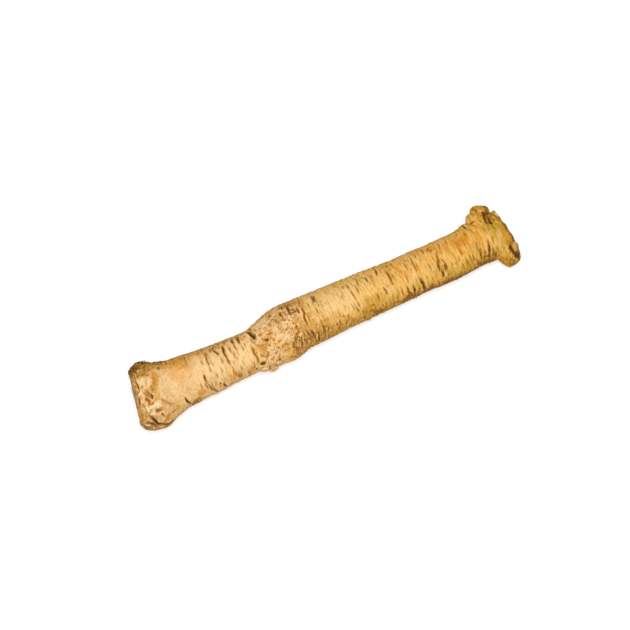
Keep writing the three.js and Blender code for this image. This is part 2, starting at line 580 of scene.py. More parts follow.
def press_furrow(at, seed):
    """One furrow round the root, broken into arcs."""
    band = np.flatnonzero(np.abs(station - at) < FURROW_REACH)
    ring = round_place[band]
    drift = 1.2 * noise(np.c_[ring * 0.9, np.full(len(band), at / 9)], 21)
    drift += 0.8 * noise(np.c_[ring * 3.2, np.full(len(band), seed)], 22)
    off = station[band] - at - drift
    arcs = rise(-0.1, 0.35, noise(np.c_[ring * 2.4, np.full(len(band), seed * 1.7)], 23))
    strength = arcs * masks["ringed"][band]
    width = random.uniform(0.4, 0.66)
    depth = random.uniform(0.14, 0.46)
    groove = np.exp(-(off / width) ** 2) * strength
    lips = np.exp(-((np.abs(off) - 2.1 * width) / (1.2 * width)) ** 2) * strength
    height[band] += depth * (0.45 * lips - groove)
    # the groove gets crease brown, darker where it is deeper, partly as painted shade
    paint("crease_and_shade", band, groove * (0.2 + 1.5 * depth))


at = -114.0
furrows = 0
while at < 126:
    furrows += 1
    press_furrow(at, furrows)
    at += random.uniform(*FURROW_GAP)
print("furrows:", furrows)

# %% Add fine wrinkles between the furrows
wrinkles = rough_noise(ringwise(1.05, 7.0), 31, layers=2)
height += 0.15 * wrinkles * (0.2 + 0.8 * masks["ringed"])
height += 0.06 * rough_noise(place / 1.6, 33, layers=2)
print("relief so far:", height.min().round(2), "to", height.max().round(2), "mm")

# %% [markdown]
# ## Slits, seams and shades
# Deeper slits open where thin side roots broke through the skin or where it split as it dried. A slit is a
# short line on the skin with a dark bottom and raised lips. A seam is softer, a brown fold with no dark
# bottom, and a shade is only a broad stain. Ridges and strands stand out instead. All of them are the same
# groove with other numbers, so each kind is one row of a table. The ones that give this root its face are
# placed one by one. Many small ones are scattered all over, always across the root's length, because that
# is how this skin splits.

# %% Name the kinds of line: width, depth, lip, darkness and mask
# ridges lay the rosy tint and strands the pale one, partly as painted highlight; seams and shades lay the
# crease brown, partly as painted shade
KINDS = {"hair": (0.42, 0.22, 0.1, 0.47, "slit"), "plain": (0.5, 0.42, 0.16, 0.72, "slit"),
         "open": (0.57, 0.65, 0.22, 0.94, "slit"), "wide": (0.7, 0.9, 0.3, 1.1, "slit"),
         "deep": (0.95, 1.4, 0.45, 1.35, "slit"), "fold": (0.85, 0.55, 0.3, 0.5, "slit"),
         "seam": (0.6, 0.28, 0.14, 0.9, "crease_and_shade"), "shade": (1.3, 0.14, 0.05, 0.65, "crease_and_shade"),
         "ridge": (0.8, -0.45, 0.0, 0.8, "rosy"), "strand": (0.6, -0.45, 0.0, 0.9, "pale")}


def draw_lines(**lines_by_kind):
    """Many lines, in lists by their kind."""
    for kind, lines in lines_by_kind.items():
        for stops in lines:
            cut_slit(stops, *KINDS[kind])
    print("lines:", sum(len(lines) for lines in lines_by_kind.values()))


# %% Draw the ridges and slits on the crown's side of the cork
draw_lines(
    ridge=[
        [(-64.1, 36), (-66, -8)], [(-62.2, 40), (-62.6, 4)], [(-58.6, 44), (-59, 10)],
        [(-54.8, 40), (-55.6, 0)], [(-69.6, 26), (-70.4, -10)], [(-50.9, 52), (-51.4, 14)],
        [(-53.4, -10), (-53.6, -60)], [(-86.4, -34), (-86.4, -56)], [(-84, -36), (-83.9, -62)],
        [(-101.6, -66), (-100.2, -88)], [(-66.6, 20), (-66.8, -30)]],
    wide=[
        [(-75.6, -84), (-74.7, -95), (-73.2, -107)], [(-67.4, 24), (-67.8, 14), (-68.6, -2)],
        [(-100.3, -68), (-99.6, -80), (-98.6, -90)]],
    open=[
        [(-60.4, 42), (-60.8, 26), (-61, 12)], [(-56.2, 42), (-57, 26), (-57.5, 13), (-57.5, 6)],
        [(-100.8, -60), (-100.3, -72), (-99, -84), (-98.3, -92), (-96.4, -102)],
        [(-82.4, -79), (-81.2, -94), (-79.6, -109)],
        [(-67.3, 26), (-67.7, 16), (-68.7, -4), (-68.4, -24), (-68.2, -42)],
        [(-71.2, 39), (-72.8, 31), (-73.8, 22)], [(-73.7, 26), (-73.2, 16), (-72.2, 7), (-71.8, -3)]],
    plain=[
        [(-78.5, 25), (-79.8, -4), (-80.5, -34)], [(-66.9, -64), (-65.4, -81), (-64.1, -96)],
        [(-65.5, -66), (-63.3, -94)], [(-61, 14), (-60.9, 0), (-60.4, -10)],
        [(-66, -70), (-65.3, -84), (-64.6, -99)], [(-85.4, -32), (-85.3, -46), (-85.1, -60)],
        [(-84.2, -74), (-83.4, -86), (-82.6, -95)], [(-68.4, 42), (-68.3, 34)], [(-64.4, 10), (-64.3, 0)],
        [(-53.9, -80), (-53.6, -94)], [(-55.2, -70), (-54.6, -80)], [(-54.8, 54), (-51.6, 52)],
        [(-94.2, -96), (-93.4, -108)], [(-85.2, -50), (-84.6, -62), (-83.4, -78), (-82.4, -95)],
        [(-86.6, -52), (-86, -66), (-84.8, -82)]])

# %% Draw the seams and shades there
draw_lines(
    seam=[
        [(-80.2, 43), (-82.6, 28)], [(-80.3, -19), (-80.4, -38)], [(-83.1, 6), (-83.3, -12)],
        [(-88.8, -46), (-88.7, -72)], [(-57.2, 2), (-56.8, -20)],
        [(-50.6, 14), (-49.9, -4), (-49.7, -19)], [(-51.7, -14), (-51.9, -28), (-52.2, -40)],
        [(-52, -40), (-50.4, -36)], [(-51.8, -46), (-52.1, -72)], [(-67.4, -54), (-67.6, -80)],
        [(-65.3, 40), (-65.3, 22)], [(-63.4, 43), (-63.7, 26)], [(-69.8, 28), (-69.8, 12)],
        [(-62.7, -52), (-62.4, -70)], [(-74.9, 36), (-75.6, 8)], [(-71.6, -6), (-72, -30)],
        [(-63.2, -4), (-63.8, -30)], [(-55, 8), (-55.2, -16)], [(-59.4, -76), (-58.4, -100)],
        [(-78, -40), (-77.6, -62)], [(-90.8, 34), (-91.4, 6)]],
    shade=[
        [(-78, 28), (-79.4, 8), (-79.5, -8)], [(-60.6, 42), (-61, 6)], [(-56.6, 42), (-57.4, 8)],
        [(-68.3, -10), (-68.2, -36)], [(-50.2, 12), (-49.8, -12)], [(-51.8, -16), (-52, -38)],
        [(-72.6, 34), (-73.4, 8)], [(-102.6, 36), (-101, 33)], [(-66, 46), (-62, 46)]])

# %% Open the deep slit behind the crown
cut_slit([(-85.4, -35), (-85.5, -42), (-85.2, -49)], width=0.65, depth=0.9, lip=0.4, dark=1.0)
print("deepest so far:", height.min().round(2), "mm")

# %% Draw the ridges and slits on the fork's side of the cork
draw_lines(
    ridge=[
        [(44.4, 10), (44.2, -34)], [(41.2, 6), (41, -30)], [(58.2, 10), (58, -30)],
        [(62.6, -34), (63, -74)], [(47.8, -40), (48.6, -64)], [(67.8, 20), (67.4, -40)],
        [(72.6, 6), (72, -30)], [(89, -20), (89, -44)], [(13.6, -34), (14.2, -60)],
        [(-3.4, 20), (-4, -10)], [(26, 10), (26.4, -40)], [(80.4, 10), (80, -30)]],
    wide=[
        [(74.6, -18), (73.9, -28), (73.6, -37), (73.2, -45)],
        [(74.7, -46), (74.9, -54), (74.5, -61), (74.2, -67)], [(78.2, -32), (77.9, -40), (77.1, -46)],
        [(60.2, -44), (60.6, -58), (61.2, -74), (61.8, -88)], [(54.3, -58), (54.6, -76)]],
    open=[
        [(38.9, 42), (37.8, 26), (36.8, 4)], [(36.3, -23), (36.6, -36), (36.9, -50)],
        [(59.9, -40), (60.2, -54), (60.9, -66)], [(29.7, 21), (29.4, -2)],
        [(50.3, -46), (50.4, -59), (51.2, -74)], [(19.6, -77), (20, -94)],
        [(-14, 13), (-14.4, 2), (-14.8, -6), (-16.3, -18), (-16.9, -42)]],
    plain=[
        [(15.4, -32), (16.1, -49), (17.1, -68)], [(61.2, 30), (60.2, 4), (59.6, -26)],
        [(43.8, 17), (42.4, -12), (42.5, -36)], [(13.6, -32), (14.1, -54)], [(24.8, 37), (22.8, -7)],
        [(19.1, -58), (19.4, -72)], [(46, -50), (46.6, -70)], [(70.4, 38), (70, 15)],
        [(76.3, 7), (75.9, -6), (75.2, -16), (74.3, -26)], [(76.2, -67), (75.8, -76)],
        [(76.9, -19), (77.8, -27), (78.4, -36)], [(81.4, -61), (82.2, -59)], [(54, -48), (54.3, -60)],
        [(47.7, 50), (47.2, 40)], [(48.8, 35), (48.7, 25)], [(46.1, 17), (46, 9)],
        [(-15.9, -11), (-16.3, -20), (-16.6, -29)], [(-5.6, 32), (-5.2, 20), (-5.3, 2)],
        [(82.4, -74), (82, -86)]],
    hair=[
        [(46.1, -36), (46.6, -64)], [(-6.7, -1), (-7.5, -27)], [(52.3, -16), (52.1, -33)],
        [(61.4, -2), (61.2, -20)], [(64.1, -40), (64.2, -56)], [(66.1, 18), (65.6, 0), (65, -10)],
        [(84.4, -38), (84.3, -50)], [(56.8, -30), (57.2, -56)], [(3.9, 38), (4, 8)],
        [(-7.1, -8), (-7, -28)], [(9.4, -30), (9.2, -44)], [(33.4, -20), (33.6, -50)],
        [(98.6, 26), (98.9, 4)], [(70, -32), (70.4, -66)], [(26.2, 30), (25.4, 4)],
        [(-0.4, 0), (-0.6, -14)], [(67.4, -46), (67.8, -72)], [(86.6, -46), (87, -74)]])

# %% Draw the seams and shades there too
draw_lines(
    seam=[
        [(17.3, 26), (16.8, -2)], [(42.8, 10), (42.6, -16), (42.1, -34)], [(18, -34), (18.1, -52)],
        [(91.2, -34), (91.8, -50), (92.6, -68)], [(94.3, -34), (94.9, -56)], [(88.5, -46), (88.8, -68)],
        [(96.6, -38), (97.2, -64)], [(52, -20), (51.9, -44)], [(6.2, -48), (7.6, -60)],
        [(3.8, -56), (3.6, -70)], [(64.6, 34), (63.4, 4)], [(34.4, 30), (33.2, -2)],
        [(12, 10), (11.8, -20)], [(55.6, 20), (54.8, -14)], [(80.8, 34), (80.2, 4)],
        [(86, 30), (85.4, 12)], [(30.6, -30), (30.8, -60)], [(-10, 20), (-10.6, -12)],
        [(68.4, -10), (68.2, -40)], [(21.6, 14), (21, -26)]],
    shade=[
        [(17.4, 26), (17, 2)], [(42.8, 8), (42.4, -28)], [(-5.4, 28), (-5.2, 2)],
        [(60.2, -34), (60.8, -80)], [(59.5, 0), (59.4, -28)], [(44.6, 34), (46.4, 26)],
        [(13, 20), (14.8, 10)], [(90.4, -18), (90.6, -32)], [(74.6, -46), (74.6, -64)],
        [(84.6, -40), (86, -44)], [(102.6, -34), (102.6, -50)], [(100.8, -20), (101.4, -50)],
        [(92, -46), (92.6, -70)], [(95, -44), (95.4, -66)]])

# %% Scatter small seams
SMALL_SEAMS = 260
CORK_STATIONS = (-52, -17)
for _ in range(SMALL_SEAMS):
    start = random.uniform(-84, 112)
    first = random.uniform(-180, 180)
    span = random.uniform(10, 42)
    lean = random.uniform(-0.6, 0.6)
    width = random.uniform(0.4, 0.6)
    depth = random.uniform(0.12, 0.34)
    if not CORK_STATIONS[0] < start < CORK_STATIONS[1]:
        cut_slit([(start, first), (start + lean, first + span / 2), (start + lean * 0.6, first + span)],
                 width, depth, 0.12, 0.25 + 1.6 * depth, "crease_and_shade")
print("small seams:", SMALL_SEAMS)

# %% Open larger slits on the far side and underneath
BACK_SLITS = 26
for _ in range(BACK_SLITS):
    start = random.uniform(-98, 108)
    first = random.uniform(62, 230)
    span = random.uniform(14, 40)
    cut_slit([(start, first), (start + random.uniform(-1, 1), first + span / 2), (start, first + span)],
             *KINDS[random.choice(["plain", "open", "open", "wide"])])
print("larger slits:", BACK_SLITS)

# %% [markdown]
# ## The corky swelling
# Part of the way along, the root was damaged and healed under a band of pinkish cork. Cork has no rings.
# It is a crust of small flakes, thicker than the skin beside it, with a ledge where it starts. It could be
# a shell of its own, but cork grows out of the skin and has no edge to lift. So a mask made of a few ovals
# gives it a natural outline, noise at three sizes makes the flakes, and veins crack it into a fine net.
# Round it the skin has crackled into patches of short slits, and those need only a place and a number.

# %% Lay the cork
for centre, size in [
        ((-38, 4), (14, 17)), ((-42, -54), (9.5, 11)), ((-26, 14), (11, 14)), ((-33, 62), (13, 16)),
        ((-40, 120), (9, 14)), ((-28, -24), (9, 9)), ((-42, -110), (9, 10))]:
    dab(centre, size, ragged=0.3, cork=1)
cork = masks["cork"]
flakes = rough_noise(place / 2.4, 57, layers=3, fade=0.8)
cracks = np.maximum(veins(place / 3.0, 58, 0.09), 0.8 * veins(place / 1.6, 59, 0.14))
height += cork * (0.22 + 0.5 * flakes - 0.3 * cracks)
# the cracks and the hollows between flakes get crease brown, partly painted shade, and the flake tops get
# the rosy tint, partly a painted highlight
paint("crease_and_shade", everywhere, cork * np.maximum(0.9 * cracks, 0.7 * rise(0.4, 0.9, -flakes)))
paint("rosy", everywhere, cork * rise(0.0, 0.5, noise(place / 5, 60)))
paint("rosy", everywhere, 0.9 * cork * rise(0.15, 0.6, flakes))
paint("ochre", everywhere, 0.8 * cork * rise(0.0, 0.45, noise(place / 6, 61)))
print("cork covers", round(100 * float(cork.mean()), 1), "% of the skin")

# %% Shape the cork's ledge and open its cracks
draw_lines(
    deep=[
        [(-50.4, 46), (-49.2, 38), (-48.7, 24), (-48.2, 6)], [(-48.9, 32), (-48.5, 18), (-48, -5)]],
    wide=[
        [(-21.3, 42), (-22.2, 14), (-22.6, -1)], [(-24.4, 45), (-25.2, 26)],
        [(-15.2, -51), (-14.2, -70)]],
    fold=[
        [(-4, 37), (-5.7, 2)], [(-4.9, 35), (-6.2, 6)]],
    open=[
        [(-47.4, -88), (-46.4, -95), (-45.6, -108)], [(-27.2, 27), (-28.1, 7)],
        [(-22.6, 8), (-19.4, 5), (-16.8, 5)], [(-17.3, 10), (-17.2, -5)], [(-17.7, -45), (-16.9, -64)],
        [(-22, 16), (-20, 12), (-18, 13)], [(-27.6, -66), (-27, -72), (-26.5, -80)],
        [(-23.6, -58), (-23.1, -66), (-23, -78)], [(-17.8, -46), (-17.6, -54), (-17.2, -61)]])

# %% Draw the cork's finer cracks and its strands
draw_lines(
    plain=[
        [(-52, -5), (-52.3, -20), (-52.3, -34), (-51.4, -56), (-51.1, -76)],
        [(-49.3, -42), (-48.6, -49), (-47.4, -57)], [(-23.6, 42), (-23.2, 28), (-22.8, 18)],
        [(-22.5, 12), (-22.1, 3)], [(-22.4, 7), (-21, 6)], [(-25.7, -4), (-24.1, -9)],
        [(-28.3, 22), (-28.2, 12)], [(-51.4, -90), (-49.6, -84), (-47.6, -88)],
        [(-51.2, -92), (-51, -100)], [(-39.8, -80), (-38, -81)], [(-38.8, -82), (-38.8, -88)],
        [(-21.2, -55), (-20.6, -72)], [(-30.2, -2), (-28.6, 2), (-26.6, -3), (-25, -5)],
        [(-15.3, -51), (-14.9, -58), (-14.9, -64)], [(-14.5, -68), (-14.3, -78)],
        [(-17, -62), (-16.7, -70), (-15.9, -80)], [(-28.9, -62), (-28.6, -71)]],
    hair=[
        [(-42.6, 18), (-39.5, 6), (-39.2, -2)], [(-38, -40), (-33, -32)],
        [(-42.6, -37), (-41.4, -32), (-39.4, -30)], [(-36, 26), (-32, 14), (-31, 8)],
        [(-46, -8), (-42, -14)], [(-34, -6), (-31, -14)], [(-19.9, 38), (-19.7, 28)],
        [(-31.8, 24), (-30.4, 20)], [(-43.8, -14), (-42.4, -24)], [(-44.4, -28), (-42.4, -26)],
        [(-36.6, -14), (-34.2, -22)], [(-29.4, -30), (-26.6, -34)], [(-39.6, -46), (-36, -50)],
        [(-23.4, 16), (-19.8, 18)], [(-45.8, 12), (-43.8, 4)], [(-20.6, -30), (-19.4, -44)]],
    seam=[
        [(-50.4, 13), (-50, -10)], [(-45.6, -42), (-44.6, -50), (-45.4, -60)],
        [(-41.6, -8), (-37.6, -12)], [(-33.8, -46), (-32.2, -52), (-30.6, -56)],
        [(-38.6, 22), (-35.4, 6)], [(-25.6, 22), (-24.6, 4)], [(-24.4, -40), (-25.8, -50), (-27.6, -49)],
        [(-22.9, -22), (-22.8, -31)], [(-34.4, 40), (-33, 26)], [(-40.4, -18), (-38.4, -28), (-39, -38)],
        [(-30.6, -84), (-31.8, -90)]],
    strand=[
        [(-26.8, -52), (-24.9, -54), (-23.7, -50), (-22, -45), (-20.8, -41)],
        [(-36, -44), (-32, -36), (-26, -34)], [(-44, -46), (-40, -56), (-36, -58)],
        [(-46.5, 30), (-44, 46)], [(-38, 18), (-33, 24), (-30, 34)], [(-46.8, 2), (-46.4, -10)],
        [(-40, 30), (-37.4, 42)], [(-26, -62), (-25.2, -72)]])

# %% Colour the cork's lumps and hollows
dabs([
    ((-38.4, 32), (4.4, 5), 0.35, {"pale": 0.7, "rosy": 1}), ((-44, 54), (4, 5), 0.35, {"rosy": 1}),
    ((-42.6, -21), (2.4, 2.6), -0.2, {"ochre": 1, "scar": 0.3}),
    ((-46.6, -30), (3.4, 4), 0, {"ochre": 0.9}), ((-30.2, -25), (1.5, 3.4), 0, {"ochre": 0.9}),
    ((-20, 22), (4.6, 7), 0, {"ochre": 0.7, "scar": 0.2}),
    ((-34, -64), (2.6, 2.4), 0, {"ochre": 1, "scar": 0.25}), ((-32.8, -50), (2.2, 3), 0, {"ochre": 1}),
    ((-18, -38), (1.6, 3.6), 0, {"ochre": 1}), ((-31.2, -88), (3, 2), 0, {"green": 1, "scar": 0.35}),
    ((-41.2, -100), (2, 1.6), 0, {"scar": 0.6}), ((-48.8, -98), (2.4, 5), 0.8, {"rosy": 1, "pale": 0.6}),
    ((-36, -72), (3.4, 2.6), 0.3, {"rosy": 0.9}), ((-42.4, -70), (4, 3), 0.3, {"rosy": 1, "pale": 0.4}),
    ((-34.6, -18), (3, 4), 0.2, {"rosy": 1}), ((-27.6, -14), (3, 3), 0.2, {"pale": 0.6}),
    ((-29, -40), (3, 3), 0.2, {"pale": 0.4, "rosy": 0.8}), ((-46, -84), (2.6, 2.6), 0.3, {"rosy": 0.8}),
    ((-30, 10), (3.6, 6), 0, {"ochre": 0.8}), ((-33, 32), (4, 3), 0, {"ochre": 0.7, "scar": 0.2}),
    ((-15.8, 31), (1.6, 2.6), 0, {"blush": 0.6}), ((-12.4, 33), (2.4, 2), 0, {"blush": 0.5})])

# %% Crackle the skin in places
CRACKLE = (0.42, 0.3, 0.12)  # width, depth and lip of these slits
for centre, size, number in [
        ((-19, 34), (5, 9), 16), ((-14, 22), (3, 6), 6), ((-22, -60), (6, 14), 26),
        ((-15, -66), (6, 13), 22), ((-6, -70), (7, 8), 14), ((24, -74), (8, 6), 10),
        ((-62, 34), (8, 8), 8), ((-92, 28), (8, 9), 18), ((-103, 38), (8, 7), 12),
        ((-80, 34), (6, 9), 10), ((54, -84), (7, 6), 14), ((66, -86), (6, 5), 10),
        ((79, -90), (7, 5), 10), ((92, -86), (6, 5), 8), ((42, -84), (6, 5), 6)]:
    for _ in range(number):
        at, around = random.normal(centre, np.array(size) / 2)
        span = random.uniform(3, 11)
        lean = random.uniform(-0.9, 0.9)
        cut_slit([(at + lean, around + span), (at, around), (at - lean, around - span)], *CRACKLE,
                 random.uniform(0.35, 0.75))
    dab(centre, size, ragged=0.6, ochre=0.9)
print("creases on", round(100 * float((masks["slit"] > 0.3).mean()), 1), "% of the skin")

# %% [markdown]
# ## Holes and dark spots
# Each fine rootlet that broke off left a small dark hole, most of them low on the near side. They could be
# cut right through the grid, but its faces are too large for that. So a hole is a very short slit, at a
# slightly different slant each time, and the few larger hollows are sunk patches.

# %% Sink the holes and dark spots
def pit(*pits):
    """Short slits or holes, each with a place, a size, a depth and a darkness."""
    for centre, size, depth, dark in pits:
        at, around = centre
        along, across = size
        lean = random.uniform(-0.5, 0.5)
        if along > across:
            stops = [(at - 1.1 * along, around + 4 * lean), centre, (at + 1.1 * along, around - 4 * lean)]
        else:
            stops = [(at + lean, around + 5.5 * across), centre, (at - lean, around - 5.5 * across)]
        cut_slit(stops, 0.25 + 0.36 * min(size), depth, 0.08, 0.9 * dark)
    print("pits:", len(pits))


dab((-49.5, -75), (1.7, 1.1), -1.1, ragged=0.4, slit=1.1, ochre=1)
dab((-42.2, -19), (1.2, 0.9), -0.5, ragged=0.4, slit=0.9, ochre=1)
dab((-85.3, -39), (0.8, 1.5), -0.3, ragged=0.5, slit=0.7, ochre=1)
dab((-85.4, -44), (1.6, 6), ochre=1)
dab((-77, 44), (3.2, 4.4), ragged=0.5, green=0.7, ochre=1)
dab((-70.4, 42), (2.4, 5), ragged=0.5, green=0.5, ochre=1)
dab((-57.4, 36), (2.0, 4), ragged=0.5, scar=0.3, ochre=1)
dab((-62.4, 38), (2.4, 5), ragged=0.5, ochre=1)
pit(
    ((-47.5, 43), (1, 1.4), 0.6, 0.9), ((-43.8, -18), (1, 0.5), 0.3, 0.5),
    ((-40.9, -14), (0.7, 0.8), 0.3, 0.5), ((-38.9, -85), (1.6, 1.3), 0.4, 0.7),
    ((-45.8, -59), (1.2, 0.9), 0.3, 0.55), ((-34.6, -64), (1.5, 1.1), 0.2, 0.55),
    ((-44.9, -37), (1, 0.7), 0.2, 0.5), ((-32.4, 7), (0.9, 0.9), 0.3, 0.7),
    ((-26.5, 36), (0.9, 1.3), 0.5, 0.9), ((-28.2, 17), (0.7, 1.6), 0.4, 0.75),
    ((-22.9, -27), (0.9, 1.1), 0.3, 0.6), ((-24.4, -42), (1.3, 0.7), 0.3, 0.55),
    ((-28.3, -57), (0.9, 1.4), 0.5, 0.9), ((-28.7, -66), (1, 1.2), 0.4, 0.8),
    ((-15, -3), (0.9, 2), 0.4, 0.9), ((-17.6, 6), (0.8, 1.6), 0.3, 0.8),
    ((-21.4, 7), (1.2, 1), 0.3, 0.6), ((-19.6, 8), (0.8, 0.9), 0.3, 0.55),
    ((-11.5, -86), (1.1, 2.2), 0.6, 1.15), ((-10.9, -76), (1.1, 1), 0.3, 0.85),
    ((-19.4, -93), (2.2, 1.2), 0.4, 0.8), ((-7.4, -66), (1, 2.4), 0.3, 0.75),
    ((-6, -58), (3, 1), 0.1, 0.45), ((2.2, -79), (1.2, 1.2), 0.3, 0.75),
    ((-1.5, -103), (1.3, 0.9), 0.4, 1.1), ((-9.3, -98), (2, 0.9), 0.3, 0.8),
    ((-4.6, -100), (2.6, 0.8), 0.3, 0.75), ((45.4, 31), (1.6, 1.8), 0.1, 0.5),
    ((14.4, 16), (1.2, 2.2), 0.1, 0.4), ((-75.6, -88), (1.2, 1.2), 0.4, 0.8),
    ((-77.4, -78), (1, 1.1), 0.4, 0.85), ((-77.6, -89), (1.2, 1.4), 0.2, 0.5),
    ((-71, -98), (1.6, 1), 0.2, 0.6), ((-53.7, -88), (2, 1.8), 0.2, 0.5),
    ((-98, 26), (0.9, 1.3), 0.1, 0.5), ((-97, 42), (1.2, 1), 0.1, 0.5),
    ((-93.9, -4), (0.9, 1.1), 0.1, 0.35), ((-94, 7), (1, 0.8), 0.1, 0.3),
    ((-52.2, 4), (0.7, 1.1), 0.2, 0.45), ((-46.9, -5), (0.9, 0.8), 0.2, 0.5),
    ((-45, 5), (1, 0.8), 0.2, 0.45), ((-74.6, 15), (0.7, 1.2), 0.2, 0.5),
    ((74.6, 15), (1.2, 0.9), 0.2, 0.65), ((29.2, 17), (0.9, 1.2), 0.2, 0.6),
    ((32.4, -70), (0.9, 1), 0.2, 0.8), ((33.5, -76), (1.1, 0.8), 0.2, 0.8),
    ((35.3, -79), (1.3, 0.7), 0.2, 0.7), ((38.2, -78), (0.8, 0.9), 0.2, 0.7),
    ((28.4, -83), (1.4, 0.9), 0.3, 0.8), ((49, -84), (1.2, 1), 0.3, 0.8),
    ((51.8, -75), (1, 1), 0.3, 0.9), ((53, -87), (1.3, 0.9), 0.3, 0.9),
    ((58, -89), (1.3, 0.8), 0.3, 0.9), ((61.4, -80), (1.1, 1.2), 0.3, 0.9),
    ((63.4, -84), (1.1, 1), 0.3, 0.9), ((65.1, -77), (0.8, 1), 0.2, 0.7),
    ((27.4, -73), (0.8, 1.2), 0.2, 0.7), ((17.2, -79), (1.2, 0.8), 0.2, 0.6))

# %% [markdown]
# ## The crown
# The crown is where the leaves grew, so it carries rows of leaf scars, with brown fibres left in some of
# them. A golden hollow sets it off from the smooth zone. Below, a thick fold of skin runs round it, with
# two dark creases and one green scar. All this could be separate lumps joined on, but they would show
# seams. So they are mounds and slits of the one skin, placed one by one, and noise only roughens them. A
# tuft is a mound whose noise is stretched one way, so that it looks combed.

# %% Roughen the crown
crown = rise(-110, -117, station + 2.5 * noise(place / 6, 71))
crown_cracks = np.maximum(veins(place / 4.6, 74, 0.1), 0.7 * veins(place / 2.4, 75, 0.12))
crown_lumps = 0.55 * noise(place / 5.0, 72) + 0.32 * rough_noise(place / 2.4, 73)
height += crown * (crown_lumps - 0.3 * crown_cracks)
paint("crease_and_shade", everywhere, 0.6 * crown * crown_cracks)
paint("ochre", everywhere, crown * rise(-0.25, 0.3, noise(place / 4.0, 76)))
paint("scar", everywhere, 0.5 * crown * rise(0.05, 0.5, rough_noise(place / 3.0, 77)))
print("the crown takes up", round(100 * float(crown.mean()), 1), "% of the skin")

# %% Shape its hollow, ridges and folds
HOLLOW_LINE = [(-110.6, 6), (-112.4, 1), (-114.4, -8), (-115.9, -16), (-117, -25), (-117.6, -34)]
LOWER_LINE = [(-115.4, -36), (-113.4, -45), (-111.7, -51), (-110, -57), (-107.8, -66)]
# the hollow and the lower fold get ochre and crease brown, partly as painted shade; the raised ridge
# between them gets the rosy tint as a painted highlight
for stops, width, depth, amount, mask in [
        (HOLLOW_LINE, 2.6, 0.9, 1.8, "ochre"), (HOLLOW_LINE, 1.6, 0.1, 0.5, "crease_and_shade"),
        (LOWER_LINE, 1.7, 0.6, 1.5, "ochre"), (LOWER_LINE, 0.8, 0.1, 0.6, "crease_and_shade"),
        ([(-111, -8), (-112.8, -24), (-112.8, -38), (-109.8, -52), (-106.2, -66)],
         1.3, -0.5, 0.6, "rosy")]:
    cut_slit(stops, width, depth, 0.1, amount, mask)
draw_lines(
    deep=[
        [(-118.6, -95), (-116, -101), (-113, -101), (-110.4, -97)],
        [(-123.9, -61), (-123.3, -68), (-122.2, -78), (-121, -86), (-119.4, -91), (-116.4, -95)]],
    wide=[
        [(-128.4, -84), (-127, -79), (-125.8, -77), (-124.6, -80), (-123.8, -84), (-122.6, -91),
         (-121, -100)], [(-124.4, -78), (-122.9, -87), (-121.4, -96)],
        [(-119.2, -21), (-118.7, -28), (-119.1, -34)], [(-123.4, 8), (-123.6, -1), (-123.9, -7)]],
    open=[
        [(-123.3, 16), (-123.4, 8), (-123.6, 0)], [(-126.2, -19), (-126.6, -29), (-126.9, -38)],
        [(-117.4, -63), (-116.9, -70), (-116.4, -76)], [(-121.2, 41), (-120.4, 32), (-120.5, 23)],
        [(-122.8, -74), (-121.4, -84), (-119.8, -90)]],
    plain=[
        [(-125.2, 13), (-124.8, 5), (-124.1, -2)], [(-126.1, -14), (-125.5, -8), (-124.2, -10)],
        [(-123.1, -22), (-122, -29), (-120.8, -36)], [(-121.1, -16), (-120.1, -23), (-119.2, -30)],
        [(-117.8, 16), (-115.9, 9), (-113.4, 10)], [(-120.5, 24), (-121.2, 14)],
        [(-118.4, 33), (-115.6, 31)], [(-126.8, -57), (-126, -64)], [(-107.3, 24), (-108.3, 14)],
        [(-122, -38), (-120.3, -40), (-119, -36)], [(-125.6, -84), (-124.6, -90), (-123.4, -98)],
        [(-120, 30), (-116.8, 28)], [(-113.6, -99), (-109.4, -94)]],
    hair=[
        [(-118.9, -68), (-118.6, -73)], [(-120.6, -16), (-119.4, -22)], [(-116.2, 20), (-114.6, 16)],
        [(-125.4, -56), (-123.6, -62)], [(-118, -50), (-114.6, -57)], [(-122.4, -10), (-119.8, -14)],
        [(-118.8, -2), (-117.8, -7)], [(-120, 23), (-117.4, 24)], [(-113.4, 22), (-112.4, 14)],
        [(-122.8, -13), (-121.8, -19)], [(-120.6, -60), (-116.8, -62)], [(-114.2, 4), (-113, -4)],
        [(-121.8, 20), (-119, 18)], [(-112, 34), (-108, 34)], [(-114.6, 38), (-110, 38)],
        [(-105, 30), (-101, 32)]],
    seam=[
        [(-126.4, 8), (-127, -3)], [(-121.7, -28), (-120.8, -36)], [(-119.9, 19), (-117.2, 12)],
        [(-122.4, -40), (-121.6, -28), (-120.8, -20)], [(-124.8, -44), (-125.2, -56)],
        [(-109, 17), (-106.8, 24)], [(-119.6, -52), (-118.8, -58), (-116.6, -57)],
        [(-114, 26), (-109, 28)], [(-112, -76), (-107.6, -78)], [(-127.6, -40), (-127.9, -56)],
        [(-127, 24), (-126.2, 12)]],
    shade=[
        [(-120.7, -54), (-117.2, -57)], [(-115.2, -76), (-112.2, -78)], [(-124.8, -28), (-125.4, -44)]],
    fold=[
        [(-121, -56), (-118, -59), (-115.4, -60)]],
    strand=[
        [(-123.4, -80), (-122.2, -88), (-120.6, -98)], [(-121.4, 35), (-118.9, 27), (-115.8, 26)],
        [(-119.6, -44), (-116.5, -43), (-114.2, -45)], [(-125.4, -20), (-124.4, -36), (-124.2, -48)],
        [(-122, 6), (-121.4, -6)], [(-120.4, -30), (-119.9, -36)], [(-120.4, -20), (-119.6, -28)]])

